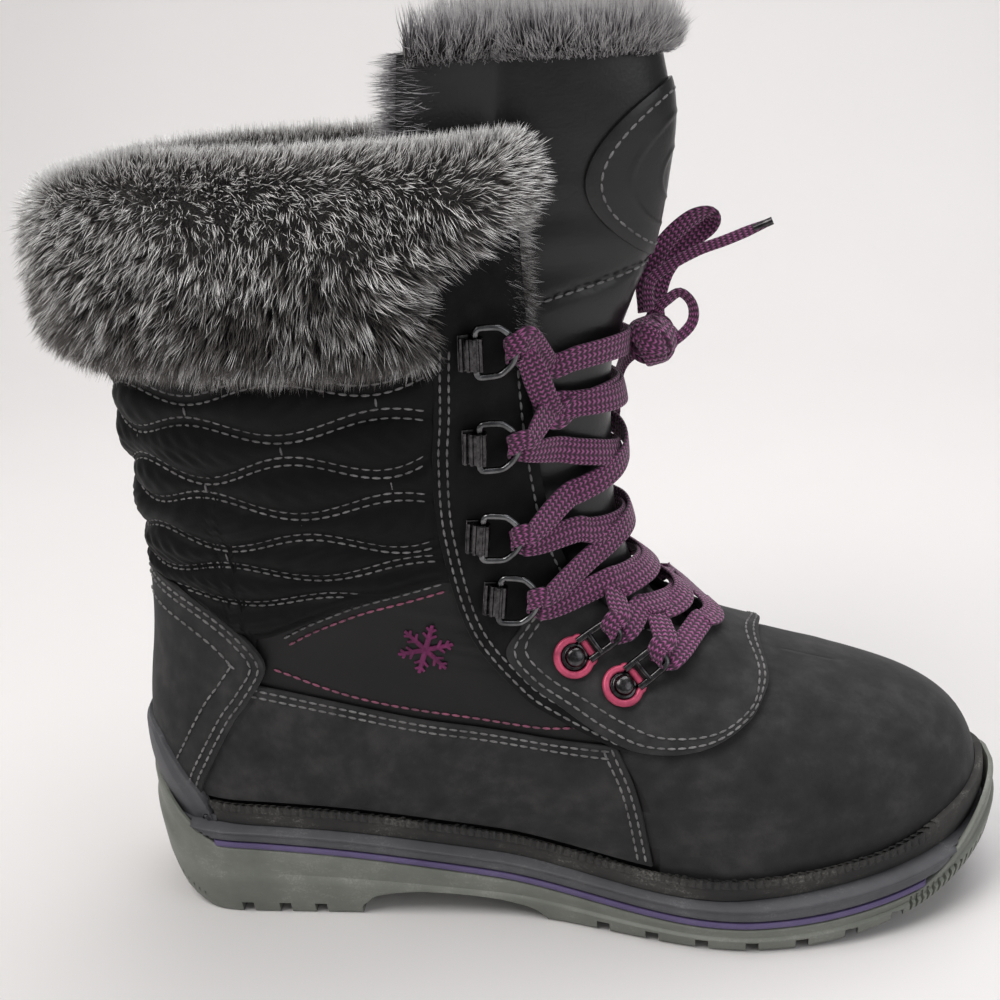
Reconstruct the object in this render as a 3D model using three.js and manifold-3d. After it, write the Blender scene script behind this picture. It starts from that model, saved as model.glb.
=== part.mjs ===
// A women's lace-up snow boot for the right foot: lugged sole, hollow leather upper with stitched overlays,
// quilted shaft, padded tongue, faux-fur cuff, D-rings, lace loops and a tied lace.
// Millimetres, +X to the toe, +Y to the inner (medial) side, +Z up. Lengths along the boot are counted from the
// back of the outsole, and the finished group is moved so that its origin lies on the floor under the heel.
import * as THREE from "three";
import { mergeVertices } from "three/addons/utils/BufferGeometryUtils.js";
import Module from "manifold-3d";

// Driving sizes
const BOOT_LENGTH = 292;
const BALL_WIDTH = 103;
const HEEL_WIDTH = 70;
const COLLAR_HEIGHT = 244;
const HEEL_SEAT_HEIGHT = 35;
const HEEL_CENTRE = 46;
const WALL = 2.4;
const CLEARANCE = 0.4;
const LATERAL = -1;
const MEDIAL = 1;

// Sole
const TREAD_DEPTH = 4.5;
const TREAD_GROOVE = 4.2;
const STRIPE_HEIGHT = 2.4;
const STRIPE_INSET = 0.8;
const MIDSOLE_INSET = 0.6;
const INSOLE_THICKNESS = 4;
const GUARD_THICKNESS = 3;
const CUP_THICKNESS = 2.6;

// Upper
const THROAT_HALF_WIDTH = 19;
const COLLAR_HALF_GAP = 31;
const OVERLAY_THICKNESS = 1.4;
const EYESTAY_THICKNESS = 1.7;
const QUILT_THICKNESS = 2.2;
const QUILT_PUFF = 2.2;

const mix = (a, b, k) => a + (b - a) * k;
const clamp01 = (k) => Math.min(1, Math.max(0, k));
const ease = (k) => clamp01(k) ** 2 * (3 - 2 * clamp01(k));

// A smooth curve through four neighbouring values, at k between the middle two.
function spline4(a, b, c, d, k) {
  const k2 = k * k;
  const k3 = k2 * k;
  return 0.5 * (2 * b + (c - a) * k + (2 * a - 5 * b + 4 * c - d) * k2 + (3 * b - a - 3 * c + d) * k3);
}

// Every column of a table at a fractional row.
function rowAt(rows, t) {
  const last = rows.length - 1;
  const i = Math.min(last - 1, Math.max(0, Math.floor(t)));
  const out = {};
  for (const column of Object.keys(rows[0])) {
    if (typeof rows[0][column] !== "number") continue;
    const value = (n) => {
      if (n < 0) return 2 * rows[0][column] - rows[1][column];
      if (n > last) return 2 * rows[last][column] - rows[last - 1][column];
      return rows[n][column];
    };
    out[column] = spline4(value(i - 1), value(i), value(i + 1), value(i + 2), t - i);
  }
  return out;
}

// One column of a table at a value of its key column, joined by smooth steps without overshoot.
function lineAt(rows, key, column, at) {
  let i = 0;
  while (i < rows.length - 2 && at > rows[i + 1][key]) i += 1;
  const slope = (n) => {
    const a = rows[Math.max(0, n - 1)];
    const b = rows[Math.min(rows.length - 1, n + 1)];
    return (b[column] - a[column]) / (b[key] - a[key]);
  };
  const step = rows[i + 1][key] - rows[i][key];
  const k = clamp01((at - rows[i][key]) / step);
  const k2 = k * k;
  const k3 = k2 * k;
  return (
    rows[i][column] * (2 * k3 - 3 * k2 + 1) +
    rows[i + 1][column] * (3 * k2 - 2 * k3) +
    slope(i) * step * (k3 - 2 * k2 + k) +
    slope(i + 1) * step * (k3 - k2)
  );
}

// Side lines of the sole. at: share of BOOT_LENGTH; the others are shares of HEEL_SEAT_HEIGHT.
// under: the tread's lowest line, floor: top of the outsole's floor, seat: what the upper stands on.
const SOLE_LINES = [
  { at: 0.0, under: 0.56, floor: 0.79, seat: 1.0 },
  { at: 0.02, under: 0.32, floor: 0.79, seat: 1.0 },
  { at: 0.05, under: 0.1, floor: 0.78, seat: 1.0 },
  { at: 0.09, under: 0.0, floor: 0.77, seat: 0.99 },
  { at: 0.16, under: 0.0, floor: 0.74, seat: 0.97 },
  { at: 0.26, under: 0.0, floor: 0.66, seat: 0.9 },
  { at: 0.37, under: 0.0, floor: 0.53, seat: 0.77 },
  { at: 0.5, under: 0.0, floor: 0.36, seat: 0.61 },
  { at: 0.63, under: 0.0, floor: 0.26, seat: 0.51 },
  { at: 0.74, under: 0.0, floor: 0.26, seat: 0.52 },
  { at: 0.8, under: 0.03, floor: 0.29, seat: 0.56 },
  { at: 0.86, under: 0.11, floor: 0.35, seat: 0.61 },
  { at: 0.91, under: 0.22, floor: 0.42, seat: 0.67 },
  { at: 0.96, under: 0.4, floor: 0.52, seat: 0.74 },
  { at: 1.0, under: 0.6, floor: 0.64, seat: 0.8 },
];
const soleLine = (column, x) => HEEL_SEAT_HEIGHT * lineAt(SOLE_LINES, "at", column, x / BOOT_LENGTH);

// The outline seen from above. Widths are shares of half of BALL_WIDTH or HEEL_WIDTH; rounds are shares of the
// outline's own length that its ends take; foot is how far it keeps the footprint's left and right curve.
const SOLE_PLAN = { heel: 1, waist: 0.64, ball: 1, backRound: 0.125, frontRound: 0.26, foot: 1 };
const BACK_POWER = 2.15;
const FRONT_POWER = 2.1;
const HEEL_AT = 0.15;
const WAIST_AT = 0.42;
const BALL_AT = 0.72;
const TIP_SHIFT = 7;
const TIP_SHIFT_FROM = 0.5;
const BALL_SKEW = { [LATERAL]: 1.035, [MEDIAL]: 0.965 };
const WAIST_SKEW = { [LATERAL]: 1.05, [MEDIAL]: 0.95 };
const ROUND_SKEW = { [LATERAL]: 1.16, [MEDIAL]: 0.84 };

// Half-width and middle line of an outline at share s of its length, on one side.
function planAt(plan, s, side) {
  const skewed = (skew) => mix(1, skew[side], plan.foot);
  const heel = (plan.heel * HEEL_WIDTH) / 2;
  const waist = ((plan.waist * BALL_WIDTH) / 2) * skewed(WAIST_SKEW);
  const ball = ((plan.ball * BALL_WIDTH) / 2) * skewed(BALL_SKEW);
  const frontRound = plan.frontRound * skewed(ROUND_SKEW);
  let half;
  if (s < WAIST_AT) half = mix(heel, waist, ease((s - HEEL_AT) / (WAIST_AT - HEEL_AT)));
  else half = mix(waist, ball, ease((s - WAIST_AT) / (BALL_AT - WAIST_AT)));
  const back = clamp01((plan.backRound - s) / plan.backRound);
  const front = clamp01((s - 1 + frontRound) / frontRound);
  const closing = (1 - back ** BACK_POWER) ** (1 / BACK_POWER) * (1 - front ** FRONT_POWER) ** (1 / FRONT_POWER);
  const middle = TIP_SHIFT * plan.foot * ease((s - TIP_SHIFT_FROM) / (1 - TIP_SHIFT_FROM));
  return middle + side * half * closing;
}
const shareOf = (theta) => (1 - Math.cos(theta)) / 2;
const sideOf = (theta) => (theta < 0 ? LATERAL : MEDIAL);

// Sections of the upper, from the sole to the top of the leg. Each runs from a point at the back to a point at the
// front. backX, frontX: shares of BOOT_LENGTH. backZ, frontZ: shares of the rise from the seat to the collar.
// sag: how far it follows the seat's dip. The other columns are those of an outline.
const SECTIONS = [
  { name: "feather", backX: 0.028, backZ: 0.0, frontX: 0.966, frontZ: -0.04, sag: 1, heel: 0.79, waist: 0.5, ball: 0.86, backRound: 0.13, frontRound: 0.27, foot: 1 },
  { name: "welt top", backX: 0.022, backZ: 0.05, frontX: 0.976, frontZ: 0.01, sag: 1, heel: 0.85, waist: 0.54, ball: 0.9, backRound: 0.13, frontRound: 0.28, foot: 1 },
  { name: "toe wall", backX: 0.018, backZ: 0.097, frontX: 0.974, frontZ: 0.06, sag: 0.92, heel: 0.89, waist: 0.57, ball: 0.91, backRound: 0.13, frontRound: 0.29, foot: 1 },
  { name: "toe shoulder", backX: 0.018, backZ: 0.144, frontX: 0.956, frontZ: 0.112, sag: 0.8, heel: 0.9, waist: 0.59, ball: 0.9, backRound: 0.14, frontRound: 0.31, foot: 0.95 },
  { name: "toe top", backX: 0.021, backZ: 0.19, frontX: 0.922, frontZ: 0.152, sag: 0.65, heel: 0.9, waist: 0.61, ball: 0.87, backRound: 0.15, frontRound: 0.36, foot: 0.88 },
  { name: "toe crown", backX: 0.026, backZ: 0.235, frontX: 0.873, frontZ: 0.181, sag: 0.5, heel: 0.9, waist: 0.625, ball: 0.83, backRound: 0.17, frontRound: 0.42, foot: 0.78 },
  { name: "ball", backX: 0.032, backZ: 0.28, frontX: 0.81, frontZ: 0.207, sag: 0.36, heel: 0.9, waist: 0.64, ball: 0.79, backRound: 0.2, frontRound: 0.47, foot: 0.65 },
  { name: "vamp", backX: 0.037, backZ: 0.326, frontX: 0.738, frontZ: 0.236, sag: 0.22, heel: 0.905, waist: 0.65, ball: 0.75, backRound: 0.23, frontRound: 0.51, foot: 0.5 },
  { name: "throat", backX: 0.04, backZ: 0.374, frontX: 0.672, frontZ: 0.274, sag: 0.1, heel: 0.92, waist: 0.665, ball: 0.725, backRound: 0.27, frontRound: 0.54, foot: 0.36 },
  { name: "instep", backX: 0.042, backZ: 0.427, frontX: 0.617, frontZ: 0.325, sag: 0, heel: 0.94, waist: 0.685, ball: 0.72, backRound: 0.31, frontRound: 0.55, foot: 0.24 },
  { name: "ankle bend", backX: 0.042, backZ: 0.485, frontX: 0.575, frontZ: 0.392, sag: 0, heel: 0.98, waist: 0.71, ball: 0.74, backRound: 0.35, frontRound: 0.55, foot: 0.14 },
  { name: "ankle", backX: 0.04, backZ: 0.55, frontX: 0.549, frontZ: 0.478, sag: 0, heel: 1.04, waist: 0.755, ball: 0.775, backRound: 0.39, frontRound: 0.54, foot: 0.06 },
  { name: "low shaft", backX: 0.036, backZ: 0.625, frontX: 0.536, frontZ: 0.58, sag: 0, heel: 1.12, waist: 0.81, ball: 0.82, backRound: 0.43, frontRound: 0.53, foot: 0 },
  { name: "shaft", backX: 0.029, backZ: 0.71, frontX: 0.53, frontZ: 0.695, sag: 0, heel: 1.2, waist: 0.86, ball: 0.862, backRound: 0.46, frontRound: 0.52, foot: 0 },
  { name: "upper shaft", backX: 0.022, backZ: 0.81, frontX: 0.53, frontZ: 0.815, sag: 0, heel: 1.27, waist: 0.9, ball: 0.9, backRound: 0.48, frontRound: 0.51, foot: 0 },
  { name: "cuff seam", backX: 0.016, backZ: 0.91, frontX: 0.532, frontZ: 0.918, sag: 0, heel: 1.32, waist: 0.925, ball: 0.925, backRound: 0.49, frontRound: 0.51, foot: 0 },
  { name: "collar", backX: 0.012, backZ: 1.0, frontX: 0.536, frontZ: 1.0, sag: 0, heel: 1.35, waist: 0.94, ball: 0.94, backRound: 0.49, frontRound: 0.51, foot: 0 },
  { name: "leg line", backX: 0.01, backZ: 1.09, frontX: 0.542, frontZ: 1.09, sag: 0, heel: 1.37, waist: 0.95, ball: 0.95, backRound: 0.49, frontRound: 0.51, foot: 0 },
  { name: "tongue top", backX: 0.01, backZ: 1.18, frontX: 0.546, frontZ: 1.18, sag: 0, heel: 1.38, waist: 0.955, ball: 0.955, backRound: 0.49, frontRound: 0.51, foot: 0 },
];
const rowOf = (name) => SECTIONS.findIndex((row) => row.name === name);
const THROAT_ROW = rowOf("throat") + 0.15;
const THROAT_ROUND_ROWS = 1.1;
const COLLAR_ROW = rowOf("collar");
const TONGUE_TOP_ROW = rowOf("tongue top");

// Height of section t at share s of its length.
function sectionHeight(row, s) {
  const rise = COLLAR_HEIGHT - HEEL_SEAT_HEIGHT;
  const [backX, frontX] = [row.backX * BOOT_LENGTH, row.frontX * BOOT_LENGTH];
  const straight = HEEL_SEAT_HEIGHT + rise * mix(row.backZ, row.frontZ, s);
  const chord = mix(soleLine("seat", backX), soleLine("seat", frontX), s);
  return straight + row.sag * (soleLine("seat", mix(backX, frontX, s)) - chord);
}

// A point of the upper's outer face. theta runs from 0 at the back to pi at the front, negative on the lateral side.
function surfacePoint(t, theta) {
  const row = rowAt(SECTIONS, t);
  const s = shareOf(theta);
  const x = BOOT_LENGTH * mix(row.backX, row.frontX, s);
  return new THREE.Vector3(x, planAt(row, s, sideOf(theta)), sectionHeight(row, s));
}

const NORMAL_STEP = 0.02;
function surfaceNormal(t, theta) {
  const wrap = (a) => (a > Math.PI ? a - 2 * Math.PI : a < -Math.PI ? a + 2 * Math.PI : a);
  const across = surfacePoint(t, wrap(theta + NORMAL_STEP)).sub(surfacePoint(t, wrap(theta - NORMAL_STEP)));
  const up = surfacePoint(t + NORMAL_STEP, theta).sub(surfacePoint(t - NORMAL_STEP, theta));
  return up.cross(across).normalize();
}
const offsetPoint = (t, theta, off) => surfacePoint(t, theta).addScaledVector(surfaceNormal(t, theta), off);

// The section and angle of the place that shows at (x, z) from the side.
function placeOf(x, z, side) {
  let low = 0;
  let high = TONGUE_TOP_ROW;
  for (let i = 0; i < 30; i += 1) {
    const t = (low + high) / 2;
    const row = rowAt(SECTIONS, t);
    const s = (x / BOOT_LENGTH - row.backX) / (row.frontX - row.backX);
    if (s > 1 || sectionHeight(row, clamp01(s)) > z) high = t;
    else low = t;
  }
  const row = rowAt(SECTIONS, low);
  const s = clamp01((x / BOOT_LENGTH - row.backX) / (row.frontX - row.backX));
  return { t: low, theta: side * Math.acos(1 - 2 * s) };
}

const wasm = await Module();
wasm.setup();

// Closed meshes

// Cuts leave slivers thinner than this, which are cleaned away.
const SLIVER = 0.04;

// A geometry from points and triangles, with its faces turned outwards.
function closedGeometry(points, triangles) {
  let volume = 0;
  for (let i = 0; i < triangles.length; i += 3) {
    const [a, b, c] = [points[triangles[i]], points[triangles[i + 1]], points[triangles[i + 2]]];
    volume += a.dot(new THREE.Vector3().crossVectors(b, c));
  }
  const index = volume > 0 ? triangles : [...triangles].reverse();
  const geometry = new THREE.BufferGeometry().setFromPoints(points);
  geometry.setIndex(index);
  return geometry;
}

// A skin over rows of equal loops. Both ends are closed by strips between the two halves of their loop.
function loftLoops(loops) {
  const n = loops[0].length;
  const triangles = [];
  const quad = (a, b, c, d) => triangles.push(a, b, c, a, c, d);
  for (let i = 0; i < loops.length - 1; i += 1) {
    for (let j = 0; j < n; j += 1) {
      const k = (j + 1) % n;
      quad(i * n + j, i * n + k, (i + 1) * n + k, (i + 1) * n + j);
    }
  }
  const last = (loops.length - 1) * n;
  for (let j = 0; j < n / 2 - 1; j += 1) {
    quad(n - 1 - j, n - 2 - j, j + 1, j);
    quad(last + j, last + j + 1, last + n - 2 - j, last + n - 1 - j);
  }
  return closedGeometry(loops.flat(), triangles);
}

// A skin over rings that also close on the first one, as on a tube bent into a ring.
function loftRings(rings) {
  const n = rings[0].length;
  const triangles = [];
  for (let i = 0; i < rings.length; i += 1) {
    const next = (i + 1) % rings.length;
    for (let j = 0; j < n; j += 1) {
      const k = (j + 1) % n;
      triangles.push(i * n + j, i * n + k, next * n + k, i * n + j, next * n + k, next * n + j);
    }
  }
  return closedGeometry(rings.flat(), triangles);
}

function toSolid(geometry) {
  const plain = geometry.clone();
  plain.deleteAttribute("normal");
  plain.deleteAttribute("uv");
  const merged = mergeVertices(plain, 1e-4);
  return new wasm.Manifold(
    new wasm.Mesh({
      numProp: 3,
      vertProperties: new Float32Array(merged.attributes.position.array),
      triVerts: new Uint32Array(merged.index.array),
    }),
  );
}

function toGeometry(solid) {
  const mesh = solid.simplify(SLIVER).getMesh();
  const geometry = new THREE.BufferGeometry();
  geometry.setAttribute("position", new THREE.BufferAttribute(new Float32Array(mesh.vertProperties), 3));
  geometry.setIndex(new THREE.BufferAttribute(new Uint32Array(mesh.triVerts), 1));
  return geometry;
}

const FAR = BOOT_LENGTH;

// A prism across the boot, from y = from to y = to, over an outline seen from the side.
function sidePrism(outline, from = -FAR, to = FAR) {
  const geometry = new THREE.ExtrudeGeometry(new THREE.Shape(outline), { depth: to - from, bevelEnabled: false });
  geometry.rotateX(Math.PI / 2);
  geometry.translate(0, to, 0);
  return toSolid(geometry);
}
function boxSolid(x0, x1, y0, y1, z0, z1) {
  const geometry = new THREE.BoxGeometry(x1 - x0, y1 - y0, z1 - z0);
  geometry.translate((x0 + x1) / 2, (y0 + y1) / 2, (z0 + z1) / 2);
  return toSolid(geometry);
}

// Sole

const SOLE_STATIONS = 17;
const END_ANGLE = 0.07;
const CUP_LENGTH = 30;
const HEEL_CUP_RISE = 23;
const TOE_CUP_RISE = 19;
const SOLE_TOP_REACH = 60;

// Stations along the sole, close together at its round ends.
function stations(count = SOLE_STATIONS) {
  return Array.from({ length: count + 1 }, (_, i) => shareOf(mix(END_ANGLE, Math.PI - END_ANGLE, i / count)));
}

// A point of the sole's outline at share s, moved inwards by inset.
function outlinePoint(s, side, inset) {
  const step = 0.004;
  const [a, b] = [Math.max(0, s - step), Math.min(1, s + step)];
  const slope = (planAt(SOLE_PLAN, b, side) - planAt(SOLE_PLAN, a, side)) / ((b - a) * BOOT_LENGTH);
  const length = Math.hypot(1, slope);
  const x = s * BOOT_LENGTH + (inset * side * slope) / length;
  return new THREE.Vector2(x, planAt(SOLE_PLAN, s, side) - (inset * side) / length);
}

// A slab over the outline between two height lines. profile: rows of height share and inset, from low to high.
function soleSlab(low, high, profile, shares = stations()) {
  const loops = shares.map((s) => {
    const corner = (side, row) => {
      const p = outlinePoint(s, side, row.inset);
      const x = s * BOOT_LENGTH;
      return new THREE.Vector3(p.x, p.y, mix(low(x), high(x), row.height));
    };
    const lateral = profile.map((row) => corner(LATERAL, row));
    const medial = profile.map((row) => corner(MEDIAL, row));
    return [...lateral, ...medial.reverse()];
  });
  return toSolid(loftLoops(loops));
}
const straightProfile = (inset) => [
  { height: 0, inset },
  { height: 1, inset },
];

const OUTSOLE_PROFILE = [
  { height: 0, inset: 2.4 },
  { height: 0.2, inset: 0.7 },
  { height: 0.56, inset: 0 },
  { height: 0.62, inset: 0.9 },
  { height: 1, inset: 0.6 },
];
const cupRise = (x) =>
  HEEL_CUP_RISE * clamp01(1 - x / CUP_LENGTH) ** 1.4 +
  TOE_CUP_RISE * clamp01(1 - (BOOT_LENGTH - x) / CUP_LENGTH) ** 1.4;
const floorLine = (x) => soleLine("floor", x);
const rimLine = (x) => floorLine(x) + cupRise(x);
const underLine = (x) => Math.max(0, soleLine("under", x));

// The outsole's cup, with everything moved outwards by grow.
function outsoleForm(grow, profile) {
  const body = soleSlab(underLine, (x) => rimLine(x) + 4 * grow, profile);
  const room = soleSlab((x) => floorLine(x) + grow, (x) => rimLine(x) + SOLE_TOP_REACH, straightProfile(CUP_THICKNESS + grow));
  return body.subtract(room);
}

// The hollow under the arch, seen from the side. at: share of BOOT_LENGTH, up: share of HEEL_SEAT_HEIGHT.
const ARCH = [
  { at: 0.268, up: -0.3 },
  { at: 0.262, up: 0.06 },
  { at: 0.27, up: 0.16 },
  { at: 0.285, up: 0.25 },
  { at: 0.33, up: 0.3 },
  { at: 0.39, up: 0.27 },
  { at: 0.44, up: 0.2 },
  { at: 0.475, up: 0.08 },
  { at: 0.495, up: -0.3 },
];
// Cross grooves of the tread: at is a share of BOOT_LENGTH.
const GROOVES = [
  { at: 0.125 },
  { at: 0.17 },
  { at: 0.213 },
  { at: 0.545 },
  { at: 0.6 },
  { at: 0.655 },
  { at: 0.71 },
  { at: 0.765 },
  { at: 0.82 },
  { at: 0.872 },
];
const CENTRE_CHANNEL_WIDTH = 9;
const RIB_GROOVE = 1.6;
const RIB_DEPTH = 1.2;
const RIB_HEIGHT = 9;
const RIBS = [
  { from: 0.004, to: 0.055, count: 3 },
  { from: 0.89, to: 0.985, count: 4 },
];

function archSolid() {
  return sidePrism(ARCH.map((row) => new THREE.Vector2(row.at * BOOT_LENGTH, row.up * HEEL_SEAT_HEIGHT)));
}

// Small upright grooves round the lower edge at the heel and toe.
function ribGrooves() {
  const grooves = [];
  for (const band of RIBS) {
    for (let i = 0; i < band.count; i += 1) {
      for (const side of [LATERAL, MEDIAL]) {
        const s = mix(band.from, band.to, (i + 0.5) / band.count);
        const edge = outlinePoint(s, side, 0);
        const inner = outlinePoint(s, side, 1);
        const groove = new THREE.BoxGeometry(2 * RIB_DEPTH, RIB_GROOVE, RIB_HEIGHT);
        groove.rotateZ(Math.atan2(edge.y - inner.y, edge.x - inner.x));
        groove.translate(edge.x, edge.y, underLine(s * BOOT_LENGTH) + RIB_HEIGHT / 2 - 1);
        grooves.push(toSolid(groove));
      }
    }
  }
  return grooves;
}

function outsole() {
  let solid = outsoleForm(0, OUTSOLE_PROFILE).subtract(archSolid());
  for (const row of GROOVES) {
    const x = row.at * BOOT_LENGTH;
    const top = underLine(x) + TREAD_DEPTH;
    solid = solid.subtract(boxSolid(x - TREAD_GROOVE / 2, x + TREAD_GROOVE / 2, -FAR, FAR, -TREAD_DEPTH, top));
  }
  const channel = CENTRE_CHANNEL_WIDTH / 2;
  const first = GROOVES[3].at * BOOT_LENGTH;
  const last = GROOVES[8].at * BOOT_LENGTH;
  solid = solid.subtract(boxSolid(first, last, -channel, channel, -TREAD_DEPTH, TREAD_DEPTH));
  for (const groove of ribGrooves()) solid = solid.subtract(groove);
  return solid;
}

const stripeTop = (x) => floorLine(x) + STRIPE_HEIGHT;
function soleStripe() {
  const shares = stations().filter((s) => s > CUP_LENGTH / BOOT_LENGTH && s < 1 - CUP_LENGTH / BOOT_LENGTH);
  return soleSlab((x) => floorLine(x) + CLEARANCE, stripeTop, straightProfile(STRIPE_INSET), shares);
}

const seatLine = (x) => soleLine("seat", x);
const MIDSOLE_PROFILE = [
  { height: 0, inset: MIDSOLE_INSET + 0.8 },
  { height: 0.45, inset: MIDSOLE_INSET },
  { height: 1, inset: MIDSOLE_INSET + 0.3 },
];

// Upper

const RISE = COLLAR_HEIGHT - HEEL_SEAT_HEIGHT;
const FORM_COLUMNS = 24;
const columnAngles = Array.from({ length: FORM_COLUMNS }, (_, j) => -Math.PI + (2 * Math.PI * j) / FORM_COLUMNS);
const UPPER_STEPS = [0, 1, 2, 3.1, 4.4, 5.8, 7.3, 8.7, 10, 11.4, 13, 16];
const LAYER_FROM = 1.04;
const CUFF_FROM = 13.5;
const LAYER_TO = CUFF_FROM - 0.06;

const formRing = (t, off) => columnAngles.map((theta) => offsetPoint(t, theta, off));

// The upper's filled form with its face moved by off, between two sections.
function filledForm(off, from, to) {
  const rows = [from, ...UPPER_STEPS.filter((t) => t > from + 0.05 && t < to - 0.05), to];
  const loops = rows.map((t) => formRing(t, off));
  return toSolid(loftLoops(loops));
}

// The angle at which the section is as wide as width on one side of its middle, at the front half.
function angleAtWidth(t, width, side) {
  const row = rowAt(SECTIONS, t);
  const middle = planAt(row, 1, side);
  let near = Math.PI / 2;
  let far = Math.PI;
  for (let i = 0; i < 26; i += 1) {
    const theta = (near + far) / 2;
    if (side * (planAt(row, shareOf(theta), side) - middle) > width) near = theta;
    else far = theta;
  }
  return side * ((near + far) / 2);
}

const halfGap = (t) => {
  const open = clamp01((t - THROAT_ROW) / THROAT_ROUND_ROWS);
  const wide = mix(THROAT_HALF_WIDTH, COLLAR_HALF_GAP, clamp01((t - THROAT_ROW) / (COLLAR_ROW - THROAT_ROW)));
  return wide * Math.sqrt(1 - (1 - open) ** 2);
};

// What the throat takes away: a patch of the form round the front, wider by grow.
const CUT_REACH = 9;
function throatCutter(grow = 0) {
  const columns = 8;
  const rows = [0.02, 0.1, 0.25, 0.5, 0.8, 1.1].map((d) => THROAT_ROW + d);
  for (let t = 10; t <= 18; t += 1) rows.push(t);
  const loops = rows.map((t) => {
    const face = (off) =>
      Array.from({ length: columns + 1 }, (_, j) => {
        const k = (2 * j) / columns - 1;
        const side = k < 0 ? LATERAL : MEDIAL;
        const edge = Math.abs(angleAtWidth(t, halfGap(t) + grow, side));
        return offsetPoint(t, side * (Math.PI - (Math.PI - edge) * Math.abs(k)), off);
      });
    return [...face(CUT_REACH), ...face(-CUT_REACH).reverse()];
  });
  return toSolid(loftLoops(loops));
}

function upper() {
  const outer = UPPER_STEPS.map((t) => formRing(t, 0));
  const inner = UPPER_STEPS.map((t) => formRing(t, -WALL)).reverse();
  return toSolid(loftRings([...outer, ...inner])).subtract(throatCutter());
}
const upperLayer = (low, high, to) => filledForm(high, LAYER_FROM, to).subtract(filledForm(low, 0.9, to + 0.5));

// Lines of the panels seen from the side. along: share of BOOT_LENGTH, up: share of RISE above the seat.
const COUNTER_EDGE = [
  { along: -0.05, up: 0.455 },
  { along: 0.02, up: 0.44 },
  { along: 0.062, up: 0.422 },
  { along: 0.116, up: 0.392 },
  { along: 0.158, up: 0.349 },
  { along: 0.182, up: 0.292 },
  { along: 0.158, up: 0.23 },
  { along: 0.137, up: 0.191 },
  { along: 0.106, up: 0.115 },
  { along: 0.086, up: 0.055 },
  { along: 0.078, up: -0.04 },
];
const QUARTER_TOP = [
  { along: 0.15, up: 0.262 },
  { along: 0.271, up: 0.225 },
  { along: 0.37, up: 0.197 },
  { along: 0.473, up: 0.182 },
  { along: 0.56, up: 0.176 },
];
const VAMP_SEAM = [
  { along: 0.566, up: 0.176 },
  { along: 0.589, up: 0.086 },
  { along: 0.61, up: -0.1 },
];
const QUILT_BOTTOM = [
  { along: 0.158, up: 0.345 },
  { along: 0.19, up: 0.352 },
  { along: 0.235, up: 0.38 },
  { along: 0.288, up: 0.412 },
  { along: 0.342, up: 0.434 },
  { along: 0.384, up: 0.45 },
];
const EYESTAY_REAR = [
  { along: 0.395, up: 0.742 },
  { along: 0.392, up: 0.7 },
  { along: 0.387, up: 0.63 },
  { along: 0.388, up: 0.508 },
  { along: 0.411, up: 0.354 },
  { along: 0.447, up: 0.3 },
];
const STAY_EDGE = [
  { along: 0.488, up: 0.395 },
  { along: 0.449, up: 0.322 },
  { along: 0.472, up: 0.28 },
  { along: 0.507, up: 0.24 },
  { along: 0.548, up: 0.196 },
  { along: 0.59, up: 0.168 },
  { along: 0.654, up: 0.166 },
  { along: 0.705, up: 0.192 },
  { along: 0.732, up: 0.222 },
];
const sidePoint = (row) => new THREE.Vector2(row.along * BOOT_LENGTH, HEEL_SEAT_HEIGHT + row.up * RISE);
const smoothLine = (rows) => new THREE.SplineCurve(rows.map(sidePoint)).getPoints(rows.length + 1);
const moved = (points, x, z) => points.map((p) => new THREE.Vector2(p.x + x, p.y + z));
const corner = (along, up) => sidePoint({ along, up });
const LOW = -0.3;
const HIGH = 1.4;

const counterOutline = (grow) => [
  corner(-0.06, LOW),
  ...moved([corner(0.078, LOW), ...smoothLine(COUNTER_EDGE).reverse()], grow, grow),
  corner(-0.06, 0.46),
];
const layer = (thickness, to = LAYER_TO) => upperLayer(CLEARANCE, CLEARANCE + thickness, to);

function heelCounter() {
  return layer(OVERLAY_THICKNESS).intersect(sidePrism(counterOutline(0)));
}

const sideRange = (side) => (side === LATERAL ? [-FAR, 0] : [0, FAR]);

// The lower quarter of one side, between the counter, the vamp seam and the smooth side panel.
function quarter(side) {
  const outline = [corner(0.07, LOW), ...smoothLine(QUARTER_TOP), ...smoothLine(VAMP_SEAM), corner(0.62, LOW)];
  return layer(OVERLAY_THICKNESS)
    .intersect(sidePrism(outline, ...sideRange(side)))
    .subtract(sidePrism(counterOutline(CLEARANCE)));
}

const EYESTAY_TO = 15.9;
const EYESTAY_TOP_REAR = 0.418;
const eyestayOutline = (grow) => [
  corner(EYESTAY_TOP_REAR, HIGH),
  corner(EYESTAY_TOP_REAR, 0.742),
  ...moved(smoothLine(EYESTAY_REAR), -grow, 0),
  corner(0.447, 0.3),
  corner(0.6, 0.3),
  corner(0.6, HIGH),
];
const stayOutline = (grow) => [
  ...moved(smoothLine(STAY_EDGE), -grow, -grow),
  corner(0.74, 0.5),
  corner(0.55, 0.5),
];

function eyestay(side) {
  return layer(EYESTAY_THICKNESS, EYESTAY_TO)
    .intersect(sidePrism(eyestayOutline(0), ...sideRange(side)))
    .subtract(sidePrism(stayOutline(CLEARANCE)))
    .subtract(throatCutter());
}
function laceStay() {
  return layer(EYESTAY_THICKNESS).intersect(sidePrism(stayOutline(0))).subtract(throatCutter());
}

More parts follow.
